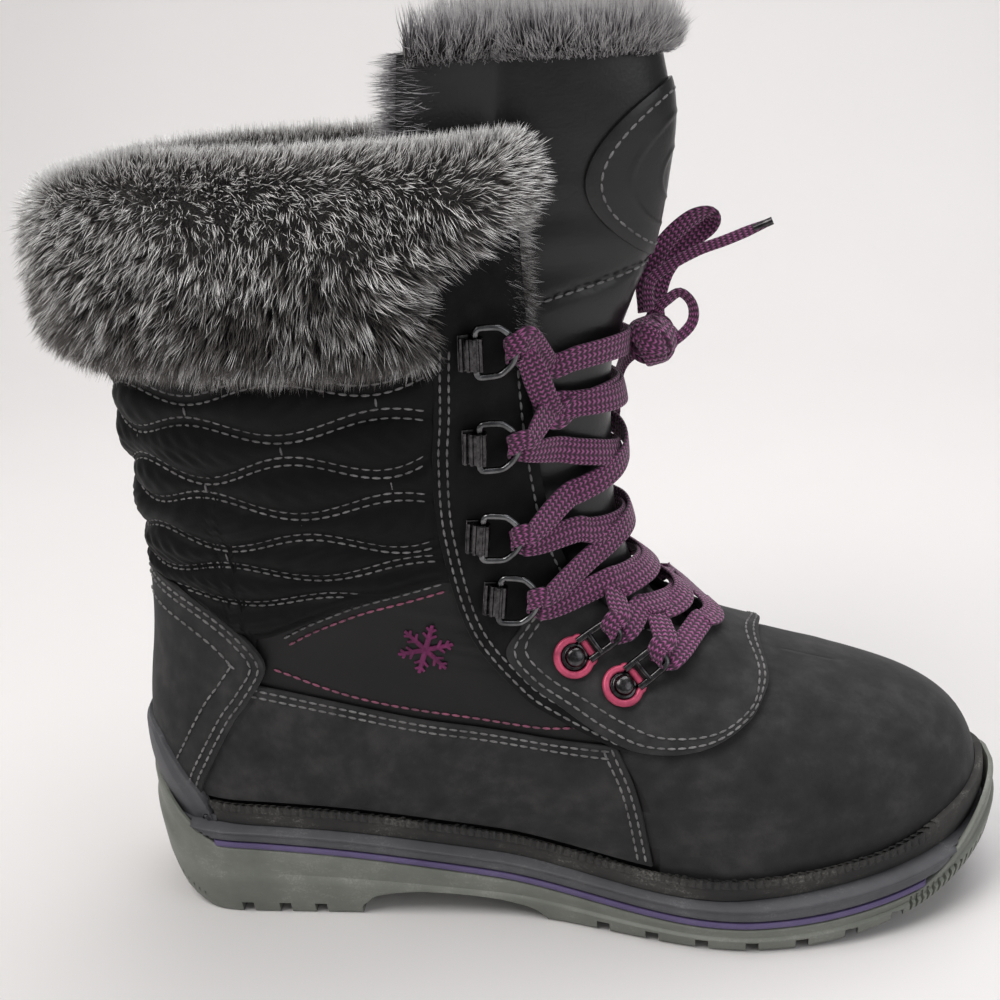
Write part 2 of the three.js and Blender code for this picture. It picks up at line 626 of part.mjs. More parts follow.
// Quilted shaft panel: a thicker layer whose face swells between the wavy channels.
const QUILT_ROWS = 7;
const QUILT_STEP = 0.62;
const QUILT_WAVE = 0.16;
const QUILT_WAVES = 3.5;
function quiltSwell(t, theta) {
  const row = (LAYER_TO - t) / ((LAYER_TO - rowOf("instep")) / QUILT_ROWS);
  const wave = QUILT_WAVE * Math.sin(QUILT_WAVES * theta * 2);
  return QUILT_PUFF * Math.abs(Math.sin(Math.PI * (row + wave))) ** 0.6;
}
function shaftQuilting() {
  const rows = [];
  for (let t = rowOf("ball"); t < LAYER_TO; t += QUILT_STEP) rows.push(t);
  rows.push(LAYER_TO);
  const columns = 16;
  const reach = 2.2;
  const loops = rows.map((t) => {
    const angles = Array.from({ length: columns + 1 }, (_, j) => mix(-reach, reach, j / columns));
    const face = angles.map((a) => offsetPoint(t, a, CLEARANCE + QUILT_THICKNESS + quiltSwell(t, a)));
    return [...face, ...angles.map((a) => offsetPoint(t, a, -CUT_REACH)).reverse()];
  });
  const outline = [
    ...moved(smoothLine(COUNTER_EDGE).slice(0, 5), 0, CLEARANCE),
    ...smoothLine(QUILT_BOTTOM),
    ...moved([...smoothLine(EYESTAY_REAR).slice(0, 4).reverse(), corner(0.395, HIGH)], -CLEARANCE, 0),
    corner(-0.06, HIGH),
  ];
  return toSolid(loftLoops(loops))
    .subtract(filledForm(CLEARANCE, 0.9, 14))
    .intersect(sidePrism(outline))
    .subtract(sidePrism(counterOutline(CLEARANCE)));
}

// Midsole with a guard that rises round the back of the heel.
const GUARD_LINE = [
  { along: -0.06, up: 0.158 },
  { along: 0.03, up: 0.15 },
  { along: 0.052, up: 0.125 },
  { along: 0.072, up: 0.085 },
  { along: 0.088, up: 0.045 },
  { along: 0.1, up: -0.03 },
];
const guardPrism = (grow) => {
  const line = moved(smoothLine(GUARD_LINE), grow, grow);
  return sidePrism([corner(-0.06, LOW), ...line, corner(0.1, LOW)]);
};
function midsole() {
  const base = soleSlab((x) => stripeTop(x) + CLEARANCE, (x) => seatLine(x) - CLEARANCE, MIDSOLE_PROFILE);
  const lift = CLEARANCE * 2 + OVERLAY_THICKNESS;
  const guard = filledForm(lift + GUARD_THICKNESS, -0.4, 5)
    .subtract(filledForm(lift, -0.6, 6))
    .intersect(guardPrism(0));
  return base.add(guard).subtract(outsoleForm(CLEARANCE, straightProfile(-CLEARANCE)));
}

// Welt: a strip round the foot of the upper, open behind where the guard is, and higher at the toe.
const WELT_WIDTH = 3.6;
const WELT_TOP_ROW = 0.86;
const WELT_TOE_ROW = 1.75;
const WELT_BACK_ANGLE = 0.62;
function welt() {
  const turns = columnAngles.map((theta) => (theta < 0 ? theta + Math.PI : theta - Math.PI));
  const kept = turns.filter((turn) => Math.abs(turn) < Math.PI - WELT_BACK_ANGLE).sort((a, b) => a - b);
  const loops = kept.map((turn) => {
    const theta = turn < 0 ? turn + Math.PI : turn - Math.PI;
    const top = mix(WELT_TOP_ROW, WELT_TOE_ROW, clamp01(1 - Math.abs(turn) / 0.75) ** 1.2);
    return [
      offsetPoint(0.1, theta, 1.5 * CLEARANCE),
      offsetPoint(top / 2, theta, 1.5 * CLEARANCE),
      offsetPoint(top, theta, 1.5 * CLEARANCE),
      offsetPoint(top - 0.06, theta, CLEARANCE + WELT_WIDTH * 0.6),
      offsetPoint(top * 0.6, theta, CLEARANCE + WELT_WIDTH * 0.9),
      offsetPoint(0.2, theta, CLEARANCE + WELT_WIDTH),
    ];
  });
  return toSolid(loftLoops(loops)).subtract(outsoleForm(CLEARANCE, straightProfile(-CLEARANCE)));
}

function insole() {
  const angles = columnAngles.filter((theta) => theta > 0.01);
  const loops = angles.map((theta) => {
    const edge = (side, lift) => {
      const p = offsetPoint(0.04, side * theta, -(WALL + 3 * CLEARANCE));
      return new THREE.Vector3(p.x, p.y, seatLine(p.x) + CLEARANCE + lift);
    };
    return [edge(LATERAL, 0), edge(LATERAL, INSOLE_THICKNESS), edge(MEDIAL, INSOLE_THICKNESS), edge(MEDIAL, 0)];
  });
  return toSolid(loftLoops(loops));
}

// Tongue. It lies inside the upper and bulges out through the throat.
// row: section of the upper; half: half-width; inset: depth inside the upper's face; bulge: how far it comes forward.
const TONGUE_ROWS = [
  { row: 7.3, half: 20, inset: 3.6, bulge: 0 },
  { row: 8.2, half: 25, inset: 3.6, bulge: 0 },
  { row: 9, half: 30, inset: 3.6, bulge: 2 },
  { row: 10, half: 34, inset: 3.6, bulge: 6 },
  { row: 11, half: 36, inset: 3.6, bulge: 9 },
  { row: 12, half: 38, inset: 3.6, bulge: 12 },
  { row: 13, half: 40, inset: 3.6, bulge: 13.5 },
  { row: 13.6, half: 41, inset: 4, bulge: 18 },
  { row: 14.2, half: 42, inset: 7, bulge: 27 },
  { row: 15, half: 43, inset: 10.5, bulge: 34.5 },
  { row: 16, half: 44, inset: 12, bulge: 38 },
  { row: 17, half: 45, inset: 12, bulge: 38.5 },
  { row: 18, half: 45, inset: 11.5, bulge: 34 },
];
const TONGUE_THICKNESS = 6;
const NECK_CLEARANCE = 1.3;
const NECK_SHARE = 0.76;
const NECK_LEAST = 10;
const TONGUE_COLUMNS = 12;
const tongueRow = (t) => {
  const value = (column) => lineAt(TONGUE_ROWS, "row", column, t);
  return { half: value("half"), inset: value("inset"), bulge: Math.max(0, value("bulge")) };
};

// A point of the tongue's face at section t. k runs from -1 at the lateral edge to 1 at the medial edge.
function tonguePoint(t, k, depth = 0) {
  const row = tongueRow(t);
  const side = k < 0 ? LATERAL : MEDIAL;
  const neck = Math.max(NECK_LEAST, Math.min(halfGap(t), COLLAR_HALF_GAP) - NECK_CLEARANCE) - 0.7 * depth;
  const q = Math.abs(k) / NECK_SHARE;
  const width = q < 1 ? neck * Math.sin((q * Math.PI) / 2) : mix(neck, row.half, (q - 1) / (1 / NECK_SHARE - 1));
  const rise = q < 1 ? Math.cos((q * Math.PI) / 2) : 0;
  const ahead = surfaceNormal(t, Math.PI);
  return offsetPoint(t, angleAtWidth(t, width, side), -(row.inset + depth)).addScaledVector(ahead, row.bulge * rise);
}
function tongueSolid(grow) {
  const rows = [...TONGUE_ROWS.map((row) => row.row)];
  const loops = rows.map((t) => {
    const ks = Array.from({ length: TONGUE_COLUMNS + 1 }, (_, j) => (2 * j) / TONGUE_COLUMNS - 1);
    const face = ks.map((k) => tonguePoint(t, k, -grow));
    return [...face, ...ks.map((k) => tonguePoint(t, k, TONGUE_THICKNESS + grow)).reverse()];
  });
  return toSolid(loftLoops(loops));
}
const tongue = () => tongueSolid(0);


// Fur. Each cell of a fur surface is drawn out to the tip of a lock, which leans the way the fur lies.
const LOCK_LENGTH = 7;
const lockShare = (i, j) => 0.45 + 0.55 * Math.abs(Math.sin(12.9 * i + 78.2 * j + 3.1 * i * j));

// A closed skin over loops along a path, with a lock on each cell whose column is in [from, to).
function furLoft(loops, from, to, lean) {
  const n = loops[0].length;
  const points = loops.flat();
  const triangles = [];
  for (let i = 0; i < loops.length - 1; i += 1) {
    for (let j = 0; j < n; j += 1) {
      const k = (j + 1) % n;
      const cell = [i * n + j, i * n + k, (i + 1) * n + k, (i + 1) * n + j];
      if (j < from || j >= to) {
        triangles.push(cell[0], cell[1], cell[2], cell[0], cell[2], cell[3]);
        continue;
      }
      const [a, b, c, d] = cell.map((v) => points[v]);
      const out = new THREE.Vector3().crossVectors(c.clone().sub(a), d.clone().sub(b)).normalize();
      const tip = a.clone().add(b).add(c).add(d).multiplyScalar(0.25);
      tip.addScaledVector(out, LOCK_LENGTH * 0.55 * lockShare(i, j));
      tip.addScaledVector(lean(j), LOCK_LENGTH * lockShare(j, i));
      points.push(tip);
      const v = points.length - 1;
      for (let e = 0; e < 4; e += 1) triangles.push(cell[e], cell[(e + 1) % 4], v);
    }
  }
  const last = (loops.length - 1) * n;
  for (let j = 0; j < n / 2 - 1; j += 1) {
    triangles.push(n - 1 - j, n - 2 - j, j + 1, n - 1 - j, j + 1, j);
    triangles.push(last + j, last + j + 1, last + n - 2 - j, last + j, last + n - 2 - j, last + n - 1 - j);
  }
  return closedGeometry(points, triangles);
}

const CUFF_LINING_GAP = 1.8;
// Section of the cuff, which hangs over the collar. row: section of the upper; off: distance from its face.
const CUFF_FACE = [
  { row: 13.8, off: 1.2 },
  { row: 13.72, off: 6.5 },
  { row: 14.05, off: 12 },
  { row: 14.6, off: 14.5 },
  { row: 15.4, off: 14.5 },
  { row: 16.0, off: 11.5 },
  { row: 16.4, off: 5.5 },
  { row: 16.5, off: -1 },
  { row: 16.3, off: -6 },
  { row: 15.4, off: -8 },
];
const CUFF_BACK = [
  { row: 15.1, off: -WALL - CUFF_LINING_GAP },
  { row: 15.8, off: -WALL - CUFF_LINING_GAP },
  { row: 16.15, off: -WALL - CUFF_LINING_GAP },
  { row: 16.15, off: 1.5 * CLEARANCE },
  { row: 15.9, off: 1.5 * CLEARANCE },
  { row: 15.4, off: 1.5 * CLEARANCE },
  { row: 14.8, off: 1.5 * CLEARANCE },
  { row: 14.4, off: 1.5 * CLEARANCE },
  { row: 14.1, off: 1.5 * CLEARANCE },
  { row: 13.85, off: 1.5 * CLEARANCE },
];
const CUFF_COLUMNS = 16;
const CUFF_END = 2.06;
const CUFF_END_ROUND = 0.16;
const CUFF_END_SHARE = 0.35;
function furCuff() {
  const section = [...CUFF_FACE, ...CUFF_BACK];
  const loops = Array.from({ length: CUFF_COLUMNS + 1 }, (_, i) => {
    const theta = mix(-CUFF_END, CUFF_END, i / CUFF_COLUMNS);
    const full = Math.sqrt(1 - clamp01(1 - (CUFF_END + 0.02 - Math.abs(theta)) / CUFF_END_ROUND) ** 2);
    return section.map((row, j) => {
      const thin = row.off > 0 ? row.off * CUFF_END_SHARE : Math.max(row.off, -WALL - 2 * CUFF_LINING_GAP);
      return offsetPoint(row.row, theta, j < CUFF_FACE.length ? mix(thin, row.off, full) : row.off);
    });
  });
  const down = new THREE.Vector3(0, 0, -1);
  const up = new THREE.Vector3(0, 0, 0.3);
  return toSolid(furLoft(loops, 1, CUFF_FACE.length - 1, (j) => (j < 5 ? down : up)));
}

// Fur round the top edge of the tongue. out: distance from its face, up: height above its top, as lengths.
const TONGUE_FUR = [
  { out: CLEARANCE * 3, down: 8 },
  { out: 5, down: 8 },
  { out: 7, down: 2 },
  { out: 6, down: -4 },
  { out: 1, down: -7 },
  { out: -5, down: -6.5 },
  { out: -10, down: -1 },
  { out: -10, down: 8 },
];
const TONGUE_FUR_BACK = [
  { out: -TONGUE_THICKNESS - CLEARANCE * 2, down: 8 },
  { out: -TONGUE_THICKNESS - CLEARANCE * 2, down: 3 },
  { out: -TONGUE_THICKNESS - CLEARANCE * 2, down: -CLEARANCE },
  { out: -TONGUE_THICKNESS / 2, down: -CLEARANCE },
  { out: -TONGUE_THICKNESS / 3, down: -CLEARANCE },
  { out: 0, down: -CLEARANCE },
  { out: CLEARANCE * 3, down: -CLEARANCE },
  { out: CLEARANCE * 3, down: 3 },
];
const TONGUE_FUR_SPAN = 0.99;
function tongueFur() {
  const top = TONGUE_ROWS[TONGUE_ROWS.length - 1].row;
  const rowLength = tonguePoint(top, 0).z - tonguePoint(top - 1, 0).z;
  const loops = Array.from({ length: TONGUE_COLUMNS + 1 }, (_, i) => {
    const k = TONGUE_FUR_SPAN * mix(-1, 1, i / TONGUE_COLUMNS);
    return [...TONGUE_FUR, ...TONGUE_FUR_BACK].map((row) => {
      const t = Math.min(top, top - row.down / rowLength);
      const p = tonguePoint(t, k, -row.out);
      if (row.down < 0) p.z -= row.down;
      return p;
    });
  });
  const up = new THREE.Vector3(0, 0, 0.5);
  return toSolid(furLoft(loops, 0, TONGUE_FUR.length - 1, () => up));
}

// Round patch on the front of the tongue.
const PATCH_ROW = 16.05;
const PATCH_HALF_ROWS = 1.42;
const PATCH_HALF_SPAN = 0.52;
const PATCH_THICKNESS = 1.2;
const PATCH_GAP = 1.8;
function tonguePatch() {
  const angles = 16;
  const rings = 2;
  const face = (depth) => {
    const points = [tonguePoint(PATCH_ROW, 0, depth)];
    for (let r = 1; r <= rings; r += 1) {
      for (let a = 0; a < angles; a += 1) {
        const turn = (2 * Math.PI * a) / angles;
        const t = PATCH_ROW + (PATCH_HALF_ROWS * r * Math.cos(turn)) / rings;
        points.push(tonguePoint(t, (PATCH_HALF_SPAN * r * Math.sin(turn)) / rings, depth));
      }
    }
    return points;
  };
  const front = face(-PATCH_GAP - PATCH_THICKNESS);
  const back = face(-PATCH_GAP);
  const n = front.length;
  const triangles = [];
  const at = (r, a) => (r === 0 ? 0 : 1 + (r - 1) * angles + (a % angles));
  for (let a = 0; a < angles; a += 1) {
    triangles.push(0, at(1, a), at(1, a + 1));
    triangles.push(n, n + at(1, a + 1), n + at(1, a));
    for (let r = 1; r < rings; r += 1) {
      const [p, q, u, v] = [at(r, a), at(r + 1, a), at(r + 1, a + 1), at(r, a + 1)];
      triangles.push(p, q, u, p, u, v, n + p, n + u, n + q, n + p, n + v, n + u);
    }
    const [e, f] = [at(rings, a), at(rings, a + 1)];
    triangles.push(e, n + e, n + f, e, n + f, f);
  }
  return toSolid(closedGeometry([...front, ...back], triangles));
}

// Lacing hardware

// The place on the upper that shows at a side point, with its own axes: ahead to the throat, up, and out.
function seatOn(along, up, side, off, turn = 0) {
  const p = corner(along, up);
  const { t, theta } = placeOf(p.x, p.y, side);
  const out = surfaceNormal(t, theta);
  const level = surfacePoint(t, theta + side * 0.02).sub(surfacePoint(t, theta)).normalize();
  const ahead = level.applyAxisAngle(out, -side * turn);
  const rise = new THREE.Vector3().crossVectors(out, ahead).multiplyScalar(-side).normalize();
  const origin = surfacePoint(t, theta).addScaledVector(out, off);
  const point = (a, u, o) => origin.clone().addScaledVector(ahead, a).addScaledVector(rise, u).addScaledVector(out, o);
  return { t, theta, out, ahead, rise, origin, point };
}

const WIRE = 2.6;
const WIRE_SIDES = 4;
const RING_HEIGHT = 14;
const RING_REACH = 11.5;
const PLATE_LENGTH = 8;
const PLATE_HEIGHT = 13;
const PLATE_THICKNESS = 1;
const PLATE_SLOT = 3.2;
const CLIPS = [
  { along: 0.432, up: 0.794 },
  { along: 0.43, up: 0.655 },
  { along: 0.428, up: 0.515 },
  { along: 0.442, up: 0.41 },
];
const LOOPS = [
  { along: 0.519, up: 0.3 },
  { along: 0.571, up: 0.251 },
];
const LOOP_TURN = 0.6;
const FACE_OFF = CLEARANCE + EYESTAY_THICKNESS;

// A closed wire through points given in the axes of a seat.
function wireRing(seat, line, wire) {
  const n = line.length;
  const rings = line.map((p, i) => {
    const before = line[(i + n - 1) % n];
    const after = line[(i + 1) % n];
    const [da, du] = [after.a - before.a, after.u - before.u];
    const length = Math.hypot(da, du);
    return Array.from({ length: WIRE_SIDES }, (_, j) => {
      const turn = (2 * Math.PI * j) / WIRE_SIDES;
      const across = (Math.cos(turn) * wire) / 2 / length;
      return seat.point(p.a - du * across, p.u + da * across, p.o + (Math.sin(turn) * wire) / 2);
    });
  });
  return toSolid(loftRings(rings));
}

// A D ring: a straight bar across its clip and a bow towards the throat.
function ringLine(lift) {
  const half = RING_HEIGHT / 2 - WIRE / 2;
  const line = [
    { a: 0, u: -half, o: lift },
    { a: 0, u: 0, o: lift },
    { a: 0, u: half, o: lift },
  ];
  const bow = 5;
  for (let i = 1; i <= bow; i += 1) {
    const turn = Math.PI / 2 - (Math.PI * i) / (bow + 1);
    const a = 1.6 + (RING_REACH - 1.6) * Math.cos(turn);
    line.push({ a, u: (half + 0.4) * Math.sin(turn), o: lift + 0.16 * a });
  }
  return line;
}
const RING_LIFT = PLATE_THICKNESS + CLEARANCE + WIRE / 2;
const clipSeat = (row, side) => seatOn(row.along, row.up, side, FACE_OFF + CLEARANCE * 1.8);
const dRing = (row, side) => wireRing(clipSeat(row, side), ringLine(RING_LIFT), WIRE);

// A clip: a slotted plate on the eyestay whose tongue is folded over the ring's bar.
const FOLD_STEPS = 3;
function ringClip(row, side) {
  const seat = clipSeat(row, side);
  const hold = WIRE / 2 + CLEARANCE;
  const shell = hold + PLATE_THICKNESS;
  const across = (from, to, outline) => {
    const at = (u) => outline.map((p) => seat.point(p.a, u, p.o));
    return toSolid(prismBetween(at(from), at(to)));
  };
  const flat = (a0, a1, o0, o1) => [
    { a: a0, o: o0 },
    { a: a1, o: o0 },
    { a: a1, o: o1 },
    { a: a0, o: o1 },
  ];
  const arc = (radius) =>
    Array.from({ length: FOLD_STEPS + 1 }, (_, i) => {
      const turn = mix(-Math.PI / 2, Math.PI * 0.62, i / FOLD_STEPS);
      return { a: radius * Math.cos(turn), o: RING_LIFT + radius * Math.sin(turn) };
    });
  const [plate, slot] = [PLATE_HEIGHT / 2, PLATE_SLOT / 2];
  const grip = (RING_HEIGHT - 2 * WIRE) / 2 - CLEARANCE;
  const base = across(-plate, plate, flat(-PLATE_LENGTH, hold, 0, PLATE_THICKNESS));
  const stem = flat(-hold, 0, PLATE_THICKNESS / 2, RING_LIFT - hold);
  const fold = [...stem.slice(0, 1), { a: 0, o: PLATE_THICKNESS / 2 }, ...arc(shell), ...arc(hold).reverse(), stem[3]];
  const window = across(-slot, slot, flat(-PLATE_LENGTH + 2, -hold - 1.4, -1, PLATE_THICKNESS + 1));
  return base.subtract(window).add(across(-grip, grip, fold));
}

// A prism between two equal polygons, closed by triangulated ends.
function prismBetween(low, high) {
  const n = low.length;
  const [a, b] = [low[0], low[1]];
  const x = b.clone().sub(a).normalize();
  const normal = high[0].clone().sub(a).normalize();
  const y = new THREE.Vector3().crossVectors(normal, x).normalize();
  const flat = low.map((p) => new THREE.Vector2(p.clone().sub(a).dot(x), p.clone().sub(a).dot(y)));
  const caps = THREE.ShapeUtils.triangulateShape(flat, []);
  const triangles = [];
  for (const [i, j, k] of caps) triangles.push(i, k, j, n + i, n + j, n + k);
  const turned = THREE.ShapeUtils.isClockWise(flat);
  for (let i = 0; i < n; i += 1) {
    const k = (i + 1) % n;
    if (turned) triangles.push(i, n + k, k, i, n + i, n + k);
    else triangles.push(i, k, n + k, i, n + k, n + i);
  }
  return closedGeometry([...low, ...high], triangles);
}

// Lace loop at the foot of the throat: a wire loop that leaves from under a rim held by a domed rivet.
const RIM_REACH = 6.6;
const RIM_THICKNESS = 1.8;
const RIVET_RADIUS = 3.1;
const RIVET_SIDES = 6;
const RIM_SIDES = 8;
const LOOP_WIRE = 2.4;
const LOOP_REACH = 15.5;
const LOOP_HALF = 4.2;
const RIM_FLAT = 4.2;
const LOOP_BAR = RIM_FLAT + CLEARANCE + LOOP_WIRE / 2;
const loopSeat = (row, side) => seatOn(row.along, row.up, side, FACE_OFF + CLEARANCE * 2, LOOP_TURN);
function laceLoop(row, side) {
  const seat = loopSeat(row, side);
  const lift = LOOP_WIRE / 2;
  const line = [
    { a: LOOP_BAR, u: -LOOP_HALF, o: lift },
    { a: LOOP_BAR, u: LOOP_HALF, o: lift },
    { a: LOOP_REACH * 0.6, u: LOOP_HALF, o: lift + 1.6 },
    { a: LOOP_REACH * 0.92, u: LOOP_HALF * 0.75, o: lift + 2.6 },
    { a: LOOP_REACH, u: 0, o: lift + 2.8 },
    { a: LOOP_REACH * 0.92, u: -LOOP_HALF * 0.75, o: lift + 2.6 },
    { a: LOOP_REACH * 0.6, u: -LOOP_HALF, o: lift + 1.6 },
  ];
  return wireRing(seat, line, LOOP_WIRE);
}
function turnedSolid(seat, radii, count) {
  const points = [seat.point(0, 0, radii[0].o)];
  for (const row of radii) {
    for (let i = 0; i < count; i += 1) {
      const turn = (2 * Math.PI * i) / count;
      points.push(seat.point(row.r * Math.cos(turn), row.r * Math.sin(turn), row.o));
    }
  }
  points.push(seat.point(0, 0, radii[radii.length - 1].o));
  const triangles = [];
  const top = points.length - 1;
  for (let i = 0; i < count; i += 1) {
    const k = (i + 1) % count;
    triangles.push(0, 1 + k, 1 + i);
    for (let r = 0; r < radii.length - 1; r += 1) {
      const [p, q] = [1 + r * count, 1 + (r + 1) * count];
      triangles.push(p + i, p + k, q + k, p + i, q + k, q + i);
    }
    const last = 1 + (radii.length - 1) * count;
    triangles.push(last + i, last + k, top);
  }
  return toSolid(closedGeometry(points, triangles));
}
function rivet(row, side) {
  const radii = [
    { r: RIVET_RADIUS - 1.1, o: 0 },
    { r: RIVET_RADIUS - 1.1, o: RIM_THICKNESS + CLEARANCE },
    { r: RIVET_RADIUS, o: RIM_THICKNESS + CLEARANCE },
    { r: RIVET_RADIUS * 0.6, o: RIM_THICKNESS + 1.8 },
  ];
  return turnedSolid(loopSeat(row, side), radii, RIVET_SIDES);
}

// The rim: a D-shaped plate round the rivet, its straight edge towards the throat.
function loopRim(row, side) {
  const seat = loopSeat(row, side);
  const outline = Array.from({ length: RIM_SIDES }, (_, i) => {
    const turn = (2 * Math.PI * (i + 0.5)) / RIM_SIDES;
    return { a: Math.min(RIM_FLAT, RIM_REACH * Math.cos(turn)), u: RIM_REACH * Math.sin(turn) };
  });
  const at = (o) => outline.map((p) => seat.point(p.a, p.u, o));
  const plate = toSolid(prismBetween(at(0), at(RIM_THICKNESS)));
  const hole = turnedSolid(seat, [{ r: RIVET_RADIUS - 0.7, o: -1 }, { r: RIVET_RADIUS - 0.7, o: 4 }], RIVET_SIDES);
  return plate.subtract(hole);
}


// Lace. A strand lies over the tongue from one side's ring or loop to the other's.
const LACE_WIDTH = 8;
const LACE_THICKNESS = 1.8;
const LACE_LIFT = 2.3;
const STRAND_STEPS = 4;
const BAR_STEPS = 8;
const LACE_SIDE_STEP = 0.29;
// Height rows of the lace's stations, from the top ring to the lowest loop.
const LACE_ROWS = [{ row: 13.12 }, { row: 12.6 }, { row: 11.35 }, { row: 10.2 }, { row: 9.3 }, { row: 8.45 }];
const STRAND_REACH = 0.6;

// The bed that the lace lies on at section t and width share k, and its outward direction.
function laceBed(t, k) {
  const side = k < 0 ? LATERAL : MEDIAL;
  const row = tongueRow(t);
  const neck = Math.max(NECK_LEAST, halfGap(t) - NECK_CLEARANCE);
  const q = Math.min(1, Math.abs(k) / NECK_SHARE);
  const [wide, high] = [Math.sin((q * Math.PI) / 2), Math.cos((q * Math.PI) / 2)];
  const ahead = surfaceNormal(t, Math.PI);
  const bulge = Math.max(row.bulge * high - row.inset, FACE_OFF + CLEARANCE);
  const across = new THREE.Vector3(0, side * wide * Math.min(1, row.bulge / neck), 0);
  const out = ahead.clone().multiplyScalar(Math.max(0.2, high)).add(across).normalize();
  const point = surfacePoint(t, angleAtWidth(t, neck * wide, side)).addScaledVector(ahead, bulge);
  return { point: point.addScaledVector(out, LACE_LIFT + LACE_THICKNESS / 2), out };
}

// A flat ribbon along places that each have a point and an outward direction.
function ribbon(places) {
  const loops = places.map(({ point, out }, i) => {
    const atEnd = i === 0 || i === places.length - 1;
    const width = LACE_WIDTH * (atEnd ? LACE_NARROW : 1);
    const thickness = LACE_THICKNESS;
    const before = places[Math.max(0, i - 1)].point;
    const after = places[Math.min(places.length - 1, i + 1)].point;
    const along = after.clone().sub(before).normalize();
    const wide = new THREE.Vector3().crossVectors(out, along).normalize();
    const up = new THREE.Vector3().crossVectors(along, wide).normalize();
    const at = (w, u) =>
      point.clone().addScaledVector(wide, (w * width) / 2).addScaledVector(up, (u * thickness) / 2);
    return [at(-1, -1), at(1, -1), at(1, 1), at(-1, 1)];
  });
  return toSolid(loftLoops(loops));
}
// Where the lace meets a station's ring or loop on one side, just short of the metal.
function laceHold(station, side, slide) {
  if (station < CLIPS.length) {
    const seat = clipSeat(CLIPS[station], side);
    return { point: seat.point(RING_REACH + WIRE / 2 + LACE_SHORT, slide, RING_LIFT + 2), out: seat.out };
  }
  const seat = loopSeat(LOOPS[station - CLIPS.length], side);
  return { point: seat.point(LOOP_REACH + LOOP_WIRE / 2 + LACE_SHORT, slide, LOOP_WIRE + 2.4), out: seat.out };
}
const LACE_SHORT = 0.9;
const LACE_SLIDE = 3;
const LACE_NARROW = 0.5;

// A strand from a lateral station to a medial one. Each end sits a little above (1) or below (-1) its station.
function strand(from, to, fromShift, toShift, steps = STRAND_STEPS) {
  const fromRow = LACE_ROWS[from].row + fromShift * LACE_SIDE_STEP;
  const toRow = LACE_ROWS[to].row + toShift * LACE_SIDE_STEP;
  const places = [laceHold(from, LATERAL, fromShift * LACE_SLIDE)];
  for (let i = 0; i <= steps; i += 1) {
    const k = i / steps;
    places.push(laceBed(mix(fromRow, toRow, k), mix(-STRAND_REACH, STRAND_REACH, k)));
  }
  places.push(laceHold(to, MEDIAL, toShift * LACE_SLIDE));
  return ribbon(places);
}
const laceCrossing = (i) => strand(i, i + 1, -1, 1).add(strand(i + 1, i, 1, -1));
const laceBar = (i, shift) => strand(i, i, shift, shift, BAR_STEPS);

// Knot, loops and ends: routes in the boot's own axes, from the tongue's front. Lengths in millimetres.
const KNOT = { row: 13.46, out: 7.8, radius: 9 };
const knotPlace = () => {
  const bed = laceBed(KNOT.row, 0);
  return bed.point.clone().addScaledVector(bed.out, KNOT.out);
};
const route = (rows) => {
  const centre = knotPlace();
  const curve = new THREE.CatmullRomCurve3(rows.map((r) => new THREE.Vector3(r.ahead, r.across, r.up).add(centre)));
  return curve;
};
const LACE_LOOP_UP = [
  { ahead: -2, across: 6.2, up: 7.2 },
  { ahead: -2, across: 12, up: 17 },
  { ahead: 4, across: 14, up: 27 },
  { ahead: 12, across: 15, up: 34 },
  { ahead: 18, across: 17, up: 35 },
  { ahead: 18, across: 20, up: 31 },
  { ahead: 11, across: 21, up: 25 },
  { ahead: 4, across: 20, up: 17 },
  { ahead: 1, across: 15, up: 8 },
  { ahead: 1, across: 10, up: 3 },
];
const LACE_LOOP_LOW = [
  { ahead: 3.2, across: 2.8, up: 9.6 },
  { ahead: 8.5, across: 4, up: 13.5 },
  { ahead: 12, across: 3, up: 10 },
  { ahead: 12, across: 1, up: 5 },
  { ahead: 7.9, across: -1, up: 0.8 },
];
const LACE_END_UP = [
  { ahead: -1.3, across: 0.5, up: 9.2 },
  { ahead: -1, across: 5, up: 16.5 },
  { ahead: 5, across: 7, up: 21 },
  { ahead: 14, across: 8, up: 25.5 },
  { ahead: 23, across: 8, up: 28.6 },
  { ahead: 36, across: 8, up: 33.7 },
];
const LACE_END_DOWN = [
  { ahead: 0, across: 9.8, up: -2.6 },
  { ahead: -4, across: 19, up: -7 },
  { ahead: -10, across: 28, up: -15 },
  { ahead: -13, across: 35, up: -28 },
  { ahead: -14, across: 38, up: -42 },
];
const CORD_SIDES = 6;
const CORD_WIDTH = 6;
const FOLDED_WIDTH = 3.4;
const CORD_THICKNESS = 2.6;
function cordSolid(rows, steps, width) {
  const section = new THREE.Shape(
    Array.from({ length: CORD_SIDES }, (_, i) => {
      const turn = (2 * Math.PI * i) / CORD_SIDES;
      return new THREE.Vector2((Math.cos(turn) * CORD_THICKNESS) / 2, (Math.sin(turn) * width) / 2);
    }),
  );
  return toSolid(new THREE.ExtrudeGeometry(section, { steps, extrudePath: route(rows), bevelEnabled: false }));
}
function laceKnot() {
  const geometry = new THREE.SphereGeometry(KNOT.radius, 10, 7);
  geometry.scale(0.72, 1, 0.95);
  const centre = knotPlace();
  geometry.translate(centre.x, centre.y, centre.z);
  return toSolid(geometry);
}

